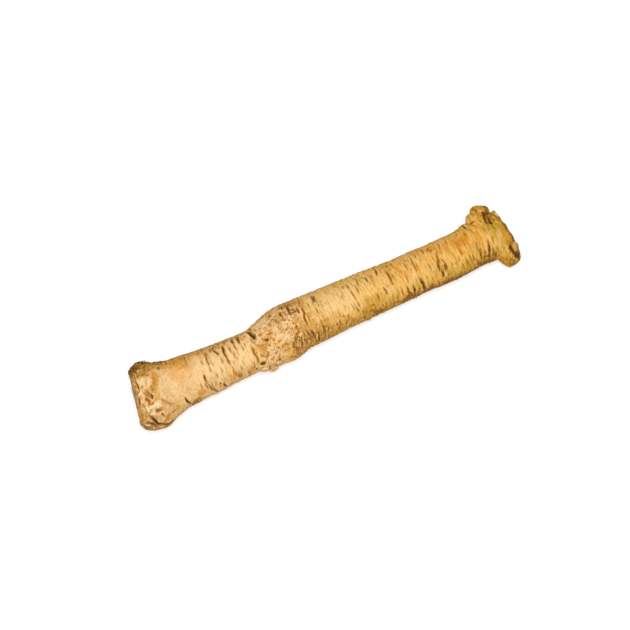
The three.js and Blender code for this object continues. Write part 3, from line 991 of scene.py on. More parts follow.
# %% Colour its lumps and hollows
dabs([
    # raised lumps get the pale and rosy tints, partly as painted highlights
    ((-122.4, -50), (2.8, 4), 0.5, {"pale": 1}), ((-117.6, -45), (3.2, 2), 0.4, {"pale": 0.9}),
    ((-121, 3), (2.2, 3.8), 0.4, {"rosy": 1, "pale": 0.4}), ((-117.4, -3), (2.8, 3), 0.3, {"rosy": 1}),
    ((-125.4, 14), (1.2, 2.2), 0.4, {"blush": 0.3}), ((-125.8, 2), (0.9, 1.8), 0.3, {"blush": 0.3}),
    ((-124.2, -17), (1.4, 2.6), 0.3, {"pale": 0.7}),
    ((-120.9, -26), (2.2, 3.4), -0.4, {"scar": 0.5, "ochre": 1}),
    ((-121, -38), (1.8, 1), -0.2, {"scar": 0.5, "ochre": 1}),
    ((-118.2, -57), (2.8, 1.5), -0.3, {"ochre": 1}), ((-112.3, -57), (0.9, 1.1), 0.2, {"pale": 0.6}),
    ((-117, 23), (5, 5), 0, {"ochre": 1, "scar": 0.35}),
    ((-112.5, 32), (5, 4), 0, {"ochre": 1, "scar": 0.45}),
    ((-119, 31), (4, 4), 0, {"ochre": 1, "scar": 0.5}), ((-116, -66), (2.8, 2), 0.2, {"rosy": 0.9}),
    ((-112.4, 3), (2.4, 3.4), 0, {"blush": 0.3, "ochre": 1}),
    ((-112.4, 24), (4.5, 3.4), 0, {"ochre": 1, "scar": 0.45}),
    ((-117.6, 16), (1.4, 1.4), -0.2, {"scar": 0.7}),
    ((-108, 19), (1.4, 1.3), -0.1, {"scar": 0.7, "green": 1}),
    ((-106.9, 23), (1.1, 1), -0.1, {"scar": 0.6, "green": 1}), ((-100, 38), (7, 2.4), 0, {"ochre": 1}),
    # painted shade: brown and ochre darken the upper edge behind the crown
    ((-110, 44), (6.5, 3.4), 0, {"scar": 0.9, "ochre": 1}), ((-101, 44), (5, 2.2), 0, {"scar": 0.6}),
    ((-104, 32), (5, 3), 0, {"ochre": 0.9}), ((-114, 38), (6, 4.4), 0, {"scar": 0.45, "ochre": 1}),
    ((-106, 47), (6, 6), 0, {"scar": 0.4, "ochre": 0.8}),
    ((-95, 48), (9, 6), 0, {"scar": 0.3, "ochre": 0.7}), ((-98, 2), (8, 9), 0, {"blush": 0.45}),
    ((-94, -98), (4, 4), 0, {"scar": 0.5, "ochre": 1}), ((-116, -84), (3, 3), 0, {"scar": 0.35}),
    ((-124, -50), (2, 5), 0, {"pale": 0.5}), ((-120, -58), (2.4, 3), 0, {"pale": 0.6}),
    ((-127.8, 10), (1.6, 6), 0, {"pale": 0.8, "rosy": 1}),
    ((-93, 16), (3.4, 3.2), 0, {"ochre": 0.9, "crease_and_shade": 0.12}),
    ((-97, 24), (3.4, 3), 0, {"ochre": 0.8, "green": 0.4}), ((-89, 18), (2.6, 3), 0, {"ochre": 0.8}),
    ((-124.6, -103), (3, 2), 0, {"scar": 0.9, "green": 1}),
    ((-127.9, -92), (1.3, 2), 0, {"scar": 0.7, "green": 1}), ((-115, -105), (8, 1.8), 0, {"scar": 0.9}),
    ((-90, -76), (3.4, 2.4), 0, {"ochre": 0.9}), ((-126.6, -82), (1.9, 1.5), 0.6, {"pale": 1.2}),
    ((-125.2, -90), (1.4, 1), -0.1, {"green": 1, "scar": 0.5}),
    ((-124, -99), (1.4, 1), 0.3, {"pale": 0.8}),
    ((-126.4, -98), (2.6, 1.8), 0.1, {"green": 0.9, "scar": 0.6}),
    ((-127.4, -24), (1.2, 6), 0.1, {"ochre": 1}), ((-128.2, -60), (1.4, 5), 0.1, {"ochre": 1}),
    ((-124.8, -66), (2, 2), 0.1, {"ochre": 1}), ((-114.5, -76), (2.6, 1.8), 0.1, {"ochre": 1}),
    ((-108, -76), (4, 2.2), 0, {"ochre": 0.8}), ((-118.6, -80), (3, 2), 0.2, {"rosy": 0.8}),
    ((-119, 24), (4, 2), 0, {"ochre": 0.9, "scar": 0.3}),
    ((-116.4, -18), (2.2, 2.4), -0.2, {"ochre": 1})])
pit(
    ((-122.4, -64), (1, 0.9), 0.2, 0.45), ((-124.3, -83), (1, 1.2), 0.5, 0.9),
    ((-128.6, -77), (0.9, 1.2), 0.3, 0.8), ((-118.4, -2), (0.6, 0.7), 0.2, 0.5),
    ((-128, -50), (0.5, 1.2), 0.2, 0.5), ((-116.8, -19), (0.8, 0.9), 0.2, 0.3))

# %% Raise its tufted scars
STRAND_WAYS = np.array([[0.9, 0.35, 0], [-0.5, 0.3, 0.1], [0.1, -0.15, 0.35]])
TUFTS = [
    ((-119, 52), (3, 5), 0.8, 1.2), ((-115, 53), (3.6, 4.8), 1, 1.2),
    ((-121.8, 42), (2.2, 4.6), 0.1, 1.2), ((-117.8, 41), (4.4, 3), 0.2, 1.2),
    ((-112.4, 45), (3.4, 3.4), 0.2, 1.2), ((-107.6, 48), (4, 3), 0.1, 1),
    ((-121.5, 66), (4, 5), 0.5, 0.9), ((-120, 84), (5, 6), 0.7, 0.8), ((-117, 112), (5, 5), 0.5, 0.7),
    ((-120, 140), (5, 6), 0.6, 0.8), ((-117, -160), (5, 5), 0.5, 0.7), ((-112, 124), (4, 5), 0.2, 0.5)]
for number, (centre, size, lift, amount) in enumerate(TUFTS):
    index, inside = dab(centre, size, lift, ragged=0.4, scar=1.3 * amount, ochre=1)
    strands = rough_noise(place[index] @ STRAND_WAYS / 1.1, 80 + number)
    height[index] += 0.9 * inside * strands
    paint("slit", index, 1.2 * inside * rise(-0.05, 0.4, -strands))
    masks["scar"][index] *= 1 - 0.6 * inside * rise(0.2, 0.6, strands)
cut_slit([(-117.4, 60), (-117.8, 52), (-118, 44)], width=0.7, depth=0.6, lip=0, dark=0.5)
print("the crown's scars cover", round(100 * float((masks["scar"] > 0.5).mean()), 1), "% of the skin")

# %% [markdown]
# ## The crown's cut face
# The leaves were cut off straight across, so the crown ends in a nearly flat face. The cut shows what the
# skin hides: a thin rim of bark, a pale ring of flesh, and a core with rays that has sunk a little as it
# dried. A disc laid on the end would be simpler, but it would never meet the bark. So the face is found by
# its normals, because every point that faces the crown's end belongs to it, and then the distance from the
# middle makes the rim and the growth rings, and the way round makes the rays.

# %% Cut the face
FACE_TILT = 0.22             # how much the face turns towards the far side
face_way = np.array([-1.0, FACE_TILT, 0.0]) / math.hypot(1, FACE_TILT)
on_face = rise(0.88, 0.98, outward @ face_way) * rise(-118, -122, station)
face_middle = place[on_face > 0.5, 1:].mean(0)
from_core = np.hypot(*(place[:, 1:] - face_middle).T)
face_radius = np.percentile(from_core[on_face > 0.5], 97)
share_out = from_core / face_radius
rays = noise(np.c_[round_place * 9, share_out * 1.2], 101)
growth_rings = np.sin(share_out * 22 + 1.5 * noise(place / 5, 102))
bark = on_face * rise(0.86, 0.95, share_out + 0.05 * noise(place / 2.4, 104))
flesh = on_face - bark
sunk = 0.6 * rise(0.8, 0.2, share_out) + 0.16 * rise(0.0, 0.5, rays) * rise(0.2, 0.5, share_out)
height = height * (1 - 0.8 * flesh) + flesh * (0.05 * growth_rings - sunk)
height += flesh * 0.16 * rough_noise(place / 2.2, 103)
height += bark * (0.35 + 0.5 * noise(place / 2.6, 105))
paint("cut", everywhere, flesh)
middle = rise(0.68, 0.5, share_out + 0.05 * noise(place / 3, 107))
core_amount = middle * (0.5 + 0.6 * rise(-0.3, 0.4, rays)) + 0.3 * rise(0.0, 0.5, rays)
paint("core", everywhere, flesh * core_amount)
paint("pale", everywhere, flesh * rise(0.1, 0.5, growth_rings))
splits = veins(np.c_[round_place * 4, share_out * 2], 108, 0.06)
paint("crease_and_shade", everywhere, 0.8 * flesh * middle * splits)
paint("crease_and_shade", everywhere, 0.5 * flesh * rise(0.2, 0.6, -rough_noise(place / 2.2, 103)))
paint("ochre", everywhere, bark)
paint("scar", everywhere, 0.7 * bark * rise(0.0, 0.5, noise(place / 2.0, 106)))
print("cut face radius:", round(float(face_radius), 1), "mm")

# %% [markdown]
# ## The fork
# At the lower end the root forked. One side root was cut to a short stub, and the others left a knob with
# a rounded lobe, a small horn, and dark hollows where thin roots broke off. The neck before it is folded
# in rings. All of these sit on the shape the solid already has, so slits, mounds and hollows are enough.
# The very end, which faces away from the root, has weathered to a cracked olive brown.

# %% Fold the neck
fork = rise(108, 115, station)
height += fork * (0.3 * noise(place / 4.5, 134) + 0.16 * rough_noise(place / 2.0, 135))
paint("green", everywhere, fork * (0.6 + 0.9 * noise(place / 5, 132)))
paint("ochre", everywhere, fork * rise(0.0, 0.5, noise(place / 4, 133)))
for stops, lift, width in [
        ([(108.6, 46), (110, 30), (111.4, 20), (112, 8), (111.8, -5), (111, -28), (109.8, -46),
          (109, -62)], 0.7, 0.9),
        ([(106, 28), (107.8, 10), (108, -10), (107.6, -34), (106.8, -60)], 0.35, 1.2),
        ([(113.6, 16), (114, -8), (113.6, -30), (112.4, -54)], 0.3, 1.0),
        ([(100.6, 30), (101.2, 4), (100.6, -14)], 0.3, 1.2),
        ([(113.4, -60), (114.6, -72), (116, -86)], 0.3, 1.2)]:
    # the raised folds get the pale tint, partly as a painted highlight
    cut_slit(stops, width, -lift, 0, 0.9 * lift, "pale")
draw_lines(
    wide=[
        [(109.4, -24), (109, -34), (108.6, -44), (107.9, -57), (107.5, -68), (107.3, -86)],
        [(113, 41.5), (114.4, 39), (115.6, 36)]],
    open=[
        [(102.1, 58), (102.1, 42), (102, 28)], [(104.8, 46), (106.2, 42.5), (107.6, 38), (109.4, 31.5)],
        [(102.4, -40), (102.2, -56), (101.6, -76)],
        [(112.3, -59), (111.8, -68), (111.2, -75), (110.4, -81)]],
    plain=[
        [(110.3, -46), (110, -57), (110, -70), (111.2, -78), (112.7, -85)],
        [(109.6, 42), (111, 39), (112.4, 35)], [(111.3, 27), (112.6, 26)], [(103.4, -64), (105.6, -67)],
        [(104.6, -84), (106.2, -92)]],
    fold=[
        [(98.4, -56), (99.4, -70), (100, -88)], [(104.2, -66), (106, -66), (107.6, -68)]],
    hair=[
        [(113.4, -40), (114, -60), (115, -78)], [(98, -60), (98.6, -90)], [(109.2, 52), (110.8, 44)],
        [(115.2, 50), (116.6, 42)], [(117.5, 52), (118.4, 42)], [(116, -20), (115.8, -50)],
        [(118, 6), (118.6, -20)], [(120.6, 0), (121.2, -14)], [(105.2, 32), (106.4, 30)],
        [(114.4, 14), (114.6, -14)]],
    seam=[
        [(103, -30), (102.6, -52)], [(102, -12), (101.4, -40)], [(113, 10), (113.2, -10)],
        [(103.4, 26), (103.8, 8)], [(98.6, 26), (99, 6)], [(112.2, 52), (113, 42)],
        [(119.8, -84), (120.4, -98)], [(112.8, -20), (112.2, -44)]],
    shade=[
        [(104, -56), (104.6, -84)], [(100.4, -72), (100.6, -88)], [(102.8, -34), (102.6, -50)],
        [(116.4, 10), (116.8, -20)], [(124.8, 4), (125.6, -20)], [(110.6, 20), (111, 2), (110.6, -18)]])

# %% Colour the knob, the stub and the neck
dabs([
    ((110.6, -77), (1, 1.2), 0.5, {"pale": 1}), ((115.8, -98), (2.2, 2.4), 0, {"blush": 0.8}),
    ((122, -29), (1.8, 2.6), 0, {"blush": 0.9}), ((124.8, -44), (1.4, 2.6), 0, {"blush": 1, "scar": 0.2}),
    ((120.4, -48), (2, 2.6), 0, {"blush": 0.5}), ((112.4, -37), (2.4, 3), 0, {"pale": 0.5}),
    ((105.7, 3), (1.2, 2.6), 0, {"blush": 1}), ((106.2, -12), (1.2, 2.6), 0, {"blush": 0.9}),
    ((114, 58), (3, 2.4), 0.3, {"pale": 0.5, "green": 0.6}), ((115, 46), (3.2, 4), 0.2, {"ochre": 1}),
    ((112.8, 53), (1.2, 1.2), -0.3, {"scar": 0.8, "green": 1}),
    ((116.6, 52), (2.2, 3), 0.2, {"green": 1}), ((120.4, 52), (1.6, 4.4), 0.2, {"scar": 0.7, "ochre": 1}),
    ((119.6, 36), (1.4, 1.6), -0.3, {"scar": 1}), ((107.4, 54), (2.6, 2.4), 0.3, {"rosy": 0.9}),
    ((106.9, 30), (1.4, 1.2), 0, {"blush": 0.6}),
    ((100.5, -74), (1.6, 3), 0, {"scar": 0.5, "ochre": 1}),
    ((104.6, -66), (1.6, 1), 0, {"scar": 0.7}), ((105.2, -56), (0.9, 1), -0.2, {"scar": 0.9}),
    ((104.6, -82), (2.4, 2.4), 0, {"scar": 0.6, "ochre": 1}), ((112.6, -100), (2.6, 2), 0, {"scar": 0.2}),
    ((119.8, -100), (1.8, 2), 0, {"scar": 0.7, "ochre": 1}),
    ((122, -98), (3, 3), 0.2, {"scar": 0.35, "green": 1}), ((118, -112), (5, 2.4), 0, {"scar": 0.5}),
    ((123, -110), (4, 2.4), 0, {"scar": 0.9}), ((125.2, -94), (1.6, 2), 0.2, {"scar": 0.7}),
    ((126.6, 58), (1.4, 2.6), 0.2, {"pale": 0.8, "rosy": 1}), ((101, -28), (1.4, 5), 0, {"green": 1}),
    ((93, -62), (5, 4), 0, {"green": 1}), ((118, 2), (3.4, 3), 0.1, {"green": 1}),
    ((98.9, 14), (1.6, 3.4), 0, {"green": 0.9, "ochre": 0.7}),
    ((109.4, -14), (1.2, 3), 0.1, {"rosy": 0.8}), ((118.4, -66), (1.4, 5), 0.1, {"green": 1}),
    ((115.4, -50), (1.4, 5), 0.2, {"pale": 0.6}), ((116.6, -76), (1.2, 4), 0.2, {"pale": 0.6}),
    ((122, -84), (3, 5), 0, {"green": 1, "scar": 0.45}),
    ((119, -88), (2.4, 2.4), 0, {"scar": 0.4, "green": 1}),
    ((103.5, -60), (2.4, 4), 0, {"scar": 0.4, "ochre": 1}),
    ((127, 40), (2.2, 4), 0, {"scar": 0.7, "green": 1}),
    ((128, -30), (1.6, 7), 0, {"scar": 0.8, "green": 1}),
    ((121, -96), (4, 3), 0, {"green": 1, "scar": 0.5}),
    ((106, -73), (8, 5), 0, {"scar": 0.55, "ochre": 1}), ((106, -46), (2.4, 4), 0, {"pale": 0.5}),
    ((118, -34), (2.4, 7), 0, {"pale": 0.5}), ((117, -106), (5, 2), 0, {"scar": 0.3}),
    ((110, -92), (3, 3), 0, {"scar": 0.8}), ((127, -8), (1.6, 6), 0, {"scar": 0.5, "green": 1})])

# %% Hollow the notch and the broken roots
for centre, size, depth, paints in [
        ((116.2, 26), (2.4, 3), 0.8, {"scar": 0.8, "ochre": 1}),
        ((117, 14), (0.9, 1.7), 0.2, {"scar": 0.9, "green": 1}),
        ((113.4, 46), (0.8, 1.1), 0.3, {"scar": 0.9, "ochre": 1}),
        ((113.7, 33), (1.8, 1.1), 0.1, {"scar": 0.7, "ochre": 1}),
        ((119, 41), (1, 3.6), 0, {"scar": 1, "slit": 0.35}),
        ((117, 36), (2.2, 1.6), 0.2, {"scar": 0.9, "ochre": 1}),
        ((116.4, 37), (1.4, 1.4), 0.3, {"slit": 1.1}), ((118.6, 38), (1, 1.8), 0.3, {"slit": 0.9}),
        ((114.9, 26.5), (1.2, 2.6), 0.3, {"slit": 0.8}), ((117.8, 23), (1, 3), 0.3, {"slit": 0.85}),
        ((125.4, 27), (1, 3), 0.3, {"slit": 0.9, "scar": 1}),
        ((112, 27), (3, 4), 0, {"ochre": 1, "scar": 0.25}), ((118, 26), (3, 4), 0, {"scar": 0.5}),
        ((126.2, -62), (1.4, 2.6), 0, {"scar": 1, "slit": 0.6}),
        ((127.2, 52), (0.7, 1.2), 0.3, {"slit": 0.8, "blush": 1}),
        ((123.4, 22), (1, 1.4), 0.4, {"scar": 0.7}), ((123.8, -82), (1.9, 2.2), 1.6, {"slit": 1.6}),
        ((125.4, -88), (1.5, 2.4), 1.1, {"slit": 1.5}),
        ((126.4, -56), (0.8, 1.8), 0.3, {"slit": 0.8, "green": 1}),
        ((119.6, -90), (0.8, 1), 0.3, {"scar": 1}),
        ((122.6, -54), (2.6, 3.2), 0, {"ochre": 1, "scar": 0.5}),
        ((120.4, -66), (1, 4.6), 0, {"ochre": 1, "scar": 0.4}),
        ((126.6, 100), (2.2, 2.4), 0.8, {"slit": 1}), ((125, 130), (2.6, 3), 0.6, {"scar": 0.8}),
        ((122, -150), (2.2, 2.6), 0.8, {"slit": 0.9})]:
    dab(centre, size, -depth, ragged=0.25, **paints)
draw_lines(
    deep=[
        [(115.1, 31), (116.2, 31.5), (117.3, 30)],
        [(122.4, -57), (121.6, -64), (121.5, -71), (122.1, -77), (123.4, -82)],
        [(122, -60), (121.4, -67), (121.7, -74)]],
    wide=[
        [(114.3, 28), (114.9, 25.5), (115.8, 23.5)], [(117.8, 28), (117.6, 23), (117.8, 17)]],
    open=[
        [(117.4, 36), (119.5, 32), (121, 40)], [(116.6, 21), (117.4, 15)]],
    plain=[
        [(122.4, -58), (123.8, -56.5), (125.4, -58)], [(119.4, 30), (120.4, 24), (121, 18)]],
    strand=[
        [(115.2, 29.5), (116.4, 27), (116.9, 24)], [(116, 25), (116.8, 21)], [(118.6, 31), (119.2, 26)]])

# %% Leave a clean stump in the hollow
STUMP = (124.6, -69)
index, inside = dab(STUMP, (2.0, 2.1), 1.6, ragged=0.08)
for name in ("slit", "scar", "green", "blush", "ochre"):
    masks[name][index] *= 1 - inside
paint("cut", index, 0.85 * inside)
paint("core", index, inside * (0.35 + 0.5 * rise(-0.2, 0.3, noise(place[index] / 1.5, 136))))
draw_lines(
    plain=[
        [(123.9, -64), (125.2, -66), (125.4, -71), (124.2, -72), (124, -68)]],
    hair=[
        [(123.2, -68), (123.6, -74), (125, -76)], [(126, -66), (126.3, -72)]])

# %% Weather the very end
fork_end = rise(0.35, 0.85, outward[:, 0]) * rise(117, 122, station)
upward = rise(-0.1, 0.25, outward[:, 2])
height += fork_end * (0.5 * rough_noise(place / 3.4, 137) - 0.5 * veins(place / 5, 139, 0.08))
paint("scar", everywhere, fork_end * (0.3 + 0.55 * upward + 0.5 * noise(place / 3, 137)))
paint("ochre", everywhere, fork_end)
dark_spots = 0.35 * rise(0.0, 0.4, noise(place / 2.4, 138))
paint("slit", everywhere, fork_end * (dark_spots + 0.8 * veins(place / 5, 139, 0.05)))
paint("green", everywhere, fork_end * (0.4 + 0.6 * upward))
print("the end takes up", round(100 * float(fork_end.mean()), 1), "% of the skin")

# %% [markdown]
# ## The tinted sides, the painted shade and the soil
# The root was washed, but brown fibres and soil stay in the skin low on its near side and underneath. The
# low sides are painted ochre as shade, the sides a deeper gold as shade where the light grazes, and the
# upper edge of the far side olive and brown as shade. Each of these is a band round the root, told by its
# turn, with an edge that noise makes ragged. Painting them by hand would take longer and look striped.
# Soil gets a little relief, because it sits on the skin. It is only a density here: the material breaks it
# into strokes.

# %% Tint the sides with painted shade
def ragged_turn(by, blob, seed):
    """The turn of every point, pushed about by this many degrees in blobs of this size in mm."""
    return turn + by * noise(place / blob, seed)


shaft = rise(-34, -26, station) * rise(116, 106, station)
# painted shade: ochre on the low sides, stronger along the shaft
shaded_low_side = np.maximum(rise(-40, -88, ragged_turn(14, 8, 141)), rise(95, 150, turn))
paint("ochre", everywhere, shaded_low_side * (0.2 + 0.6 * shaft))
# painted shade: a deeper gold on the sides, where the light grazes
paint("side_shade_gold", everywhere, rise(-40, -70, ragged_turn(8, 7, 150)) * (0.2 + 0.35 * rise(-40, -10, station)))
paint("side_shade_gold", everywhere, rise(12, 36, ragged_turn(8, 6, 151)) * (0.4 + 0.6 * rise(-30, -60, station)))
# painted shade: ochre, then brown, darkens the far upper edge towards the outline
shaded_upper_edge = rise(26, 46, ragged_turn(8, 6, 146)) * rise(120, 100, turn)
paint("ochre", everywhere, shaded_upper_edge * rise(-26, -50, station) * (0.8 + 0.4 * noise(place / 5, 147)))
shaded_brown_edge = rise(40, 56, ragged_turn(6, 4, 148)) * rise(110, 90, turn)
edge_shade_amount = 0.4 + 0.6 * rise(-80, -96, station) - 0.2 * rise(104, 110, station)
paint("scar", everywhere, shaded_brown_edge * edge_shade_amount * (0.7 + 0.5 * noise(place / 3, 149)))
low_patches = rise(-24, -60, turn) * rise(2, 22, station) * rise(112, 96, station)
paint("green", everywhere, low_patches * rise(-0.35, 0.4, noise(place / 9, 144)))
print("gold on", round(100 * float(masks["side_shade_gold"].mean())), "% of the skin")

# %% Leave soil low down, and painted shadow along the lower outline
# painted shadow, partly soil: brown along the lower outline from the middle to the neck
shadowed_under_edge = rise(-80, -94, ragged_turn(6, 5, 152)) * rise(36, 50, station) * rise(112, 106, station)
shadowed_under_edge *= 0.35 + 0.65 * rise(-124, -102, turn)
paint("scar", everywhere, shadowed_under_edge * (0.7 + 0.4 * noise(place / 3, 153)))
drifts = rise(-0.35, 0.25, noise(place / 6, 143))
# soil low on the near side, which there also stands in for shadow
shadowed_deep_side = np.maximum(rise(-58, -88, ragged_turn(12, 7, 142)), rise(110, 150, turn))
shadowed_deep_side *= 0.6 + 0.4 * rise(-122, -100, turn)
paint("soil", everywhere, shadowed_deep_side * shaft * (0.2 + 0.4 * drifts))
# soil patches; the ones low on the near side past the middle also stand in for shadow
for centre, size, amount in [
        ((-26, -66), (5, 8), 0.7), ((-18, -62), (4, 7), 0.65), ((-8, -64), (6, 3), 0.45),
        ((6, -64), (8, 3), 0.4), ((-20, -98), (10, 2.4), 0.6), ((25, -68), (4, 4), 0.45),
        ((54, -80), (5, 3), 0.8), ((63, -86), (5, 3), 0.8), ((76, -90), (8, 3), 0.9),
        ((88, -88), (6, 3), 0.7), ((101, -84), (5, 4), 0.9), ((109, -88), (4, 4), 0.9),
        ((52, -94), (8, 3), 0.9), ((-4.8, 18), (1.6, 6), 0.6), ((31, -80), (3, 2), 0.6),
        ((-96, -102), (10, 3), 0.5), ((12, 34), (3, 4), 0.3), ((-72, 24), (3, 3), 0.4)]:
    dab(centre, size, ragged=0.5, soil=amount)
soil_strokes = rough_noise(ringwise(1.0, 3.6), 145, layers=2)
height += 0.3 * masks["soil"] * soil_strokes
paint("slit", everywhere, 0.5 * masks["soil"] * rise(0.15, 0.6, -soil_strokes))
draw_lines(
    plain=[
        [(-8.2, -60), (-7.4, -65), (-7, -72)], [(-4.6, -60), (-4.4, -74)], [(7.2, -72), (7.4, -86)],
        [(1, -60), (1.6, -72)], [(-25.4, -84), (-25.6, -98)], [(-12.4, -90), (-12.8, -100)],
        [(27.6, -72), (28.4, -82), (31.6, -80)], [(40, -76), (43, -82), (47, -84)]],
    seam=[
        [(24.2, -62), (24, -76)], [(11.4, -66), (11.8, -84)], [(34.6, -60), (35, -76)],
        [(42.4, -56), (43, -78)], [(57.4, -60), (58, -80)], [(66.4, -66), (67, -82)],
        [(70.6, -64), (71.4, -84)], [(86, -66), (86.8, -82)]])

# %% [markdown]
# ## Blushes and the eye-shaped scar
# The upper side keeps a few orange blushes, where the skin was bruised, and warm painted highlights
# between them. They are only colour, so they get no relief. On the shaft one side root has healed to a
# scar shaped like an eye: two pale wedges between dark lids. A few low lumps come last, where the root's
# outline swells.

# %% Add the blushes
for centre, size, amount in [
        ((83.6, 4), (1.2, 4.6), 1.2), ((94.6, 0), (3.2, 3.8), 1.3), ((91, 4), (2.4, 3), 0.8),
        ((98, 6), (2, 3), 0.9), ((90.4, -25), (1.4, 2.6), 1), ((74.2, 20), (2.8, 2.6), 0.9),
        ((88, 2), (1.2, 3.6), 0.7), ((50, -1), (1.6, 3), 0.8), ((60, 150), (5, 6), 0.8),
        ((-20, -160), (6, 5), 0.8), ((52.2, -20), (1.6, 4), 0.7), ((-95, 120), (5, 6), 0.7),
        ((6, 110), (4, 6), 0.8), ((43, -10), (1.2, 6), 0.6), ((-96, 34), (6, 3), 0.5),
        ((60.4, -6), (1.4, 6), 0.6), ((48, 26), (1.6, 4), 0.6), ((66, 34), (4, 3), 0.5)]:
    dab(centre, size, ragged=0.5, blush=amount)
print("blushes on", round(100 * float((masks["blush"] > 0.3).mean()), 1), "% of the skin")

# %% Add the eye-shaped scar
dab((74, 20), (2.6, 2.2), scar=0.35, blush=0.8)
dab((75.6, -44), (3.2, 7), ragged=0.3, scar=0.35, ochre=1)
dab((77.5, -41), (1.1, 2.4), -0.4, scar=1, slit=0.5, green=1)
dab((74.6, -53), (0.9, 2.6), -0.3, scar=1)
dab((77.7, -62), (0.8, 1.2), -0.3, scar=1, slit=0.4)
draw_lines(
    strand=[
        [(76.2, -22), (76.4, -28), (76.7, -35)], [(75.3, -29), (75.5, -37)], [(76.9, -28), (77.2, -34)]],
    hair=[
        [(75.8, -24), (75.9, -32), (76.1, -40)], [(76.6, -38), (76.4, -46)], [(76, -48), (77.2, -50)]])
dab((76.4, -59), (1.0, 2.6), 0.6, ragged=0.15, pale=1.6)
dab((76.7, -32), (1.0, 2.8), 0.3, ragged=0.3, pale=1.2)

# %% Paint highlights on the upper side, and deepen the soil and its painted shadow
# painted highlight: warm light patches along the upper side that faces the lamp
for centre, size in [
        ((3.6, -19), (8, 7)), ((14, -20), (9, 9)), ((38, -14), (9, 10)), ((53, -32), (4, 9)),
        ((85, -38), (6, 8)), ((67, -22), (5, 9)), ((100, -22), (3, 8)), ((-60, -12), (7, 12)),
        ((-76, -20), (5, 12))]:
    dab(centre, size, rosy=0.8 if centre[0] < 30 else 0.45)
# soil and dark marks along the lower outline, partly painted shadow
for centre, size in [
        ((50, -84), (3.4, 5)), ((46.6, -90), (3, 3)), ((61, -84), (1.6, 6)), ((66, -88), (2.4, 4)),
        ((77, -92), (5, 4)), ((86, -94), (5, 3)), ((30, -90), (4, 3)), ((105, -90), (4, 4))]:
    dab(centre, size, -0.2, ragged=0.7, soil=1, slit=0.45)
# more painted highlight on the upper side behind the cork
dab((-84, -14), (9, 8), rosy=0.6)
dab((-102, -22), (7, 8), rosy=0.8)
dab((-92, -28), (8, 6), rosy=0.7)
dab((-62, -74), (11, 3.4), ochre=0.7)
dab((2.1, -44), (5, 3), ochre=0.7)
dab((25.4, -46), (7, 4), green=0.7, ochre=0.5)
print("soil on", round(100 * float((masks["soil"] > 0.3).mean()), 1), "% of the skin")

# %% Swell the outline in places
for centre, size, lift in [
        ((-44, -106), (7, 9), 0.8), ((-101, 56), (7, 6), 0.5), ((102.5, 56), (2.6, 4), 0.9),
        ((-76, -112), (7, 5), 0.4), ((120.4, 46), (2.2, 3), 0.8), ((-26, -100), (8, 6), 0.4),
        ((125.5, 30), (2.4, 4), 0.6)]:
    dab(centre, size, lift)
print("relief so far:", height.min().round(2), "to", height.max().round(2), "mm")

# %% [markdown]
# ## Moving the points
# All the relief so far is one number for each point. It is lightly smoothed along the grid's edges, which
# takes off single-point spikes, and then each point moves along its normal. A displacement map would do
# the same only while rendering, and the part needs the real shape. The frame's box is the root's true
# size, so a point near a side of the box is eased back inside it, and none goes through the table. Where a
# point lies deeper than its neighbours the brown crease colour is painted in as shade, and where it stands
# higher the rosy tint is painted in as a highlight.

# %% Smooth the relief, and paint shade in its hollows and highlights on its tops
height = 0.6 * height + 0.4 * averaged(height)
softened = averaged(height, rounds=10)
# painted shade: the brown crease colour where a point lies deeper than its neighbours
paint("crease_and_shade", everywhere, 0.9 * rise(0.04, 0.4, softened - height))
# painted highlight: the rosy tint where a point stands higher than its neighbours
paint("rosy", everywhere, 0.6 * rise(0.05, 0.32, height - softened) * (1 - masks["scar"]))
print("creases on", round(100 * float((masks["crease_and_shade"] > 0.3).mean()), 1), "% of the skin")

# %% Move the points out
EASE = 0.25                  # mm, over which points are eased back inside the box
low_mm, high_mm = (np.array(corner) / MM for corner in (cad_low, cad_high))


def eased(room):
    """The room left to a side of the box, kept above zero by a soft curve."""
    return EASE * np.logaddexp(0, room / EASE)


def kept_inside(points):
    """The points with any that pass the sides of the box eased back in, and none below the table."""
    points = high_mm - eased(high_mm - points)
    points[:, :2] = (low_mm + eased(points - low_mm))[:, :2]
    points[:, 2] = np.maximum(points[:, 2], 0)
    return points


moved = kept_inside(place + outward * height[:, None])
skin_mesh.vertices.foreach_set("co", (moved * MM).astype(np.float32).ravel())
skin_mesh.update()
print("relief from", height.min().round(2), "to", height.max().round(2), "mm")

# %% Store the masks on the mesh
ROOT_LENGTH = high_mm[0] - low_mm[0]
masks["tone"] = np.clip((station - low_mm[0]) / ROOT_LENGTH + 0.02 * noise(place / 11, 181), 0, 1)
for name, values in masks.items():
    layer = skin_mesh.attributes.new(name, "FLOAT", "POINT")
    layer.data.foreach_set("value", np.clip(values, 0, 1).astype(np.float32))
skin_mesh.shade_smooth()
root_skin = placed("root_skin", skin_mesh)
print("masks:", ", ".join(masks))

# %% [markdown]
# ## Two shared effects
# The skin and the fibres both show fine streaks, and both have masks whose edges should look torn and not
# airbrushed. Pictures wrapped round the root would show a seam, so both effects are worked out in space.
# Each is a node group, so that it is built once. The streaks group stretches a noise texture round the
# root and keeps only its peaks. The torn edge group pushes a mask up and down by a grain and then sharpens
# it.

# %% Build the shared node groups
def new_group(name, inputs, output):
    """An empty group with named inputs and one float output."""
    group = bpy.data.node_groups.new(name, "ShaderNodeTree")
    for label, kind in inputs:
        group.interface.new_socket(label, in_out="INPUT", socket_type="NodeSocket" + kind)
    group.interface.new_socket(output, in_out="OUTPUT", socket_type="NodeSocketFloat")
    return group, add(group, "NodeGroupInput"), add(group, "NodeGroupOutput")


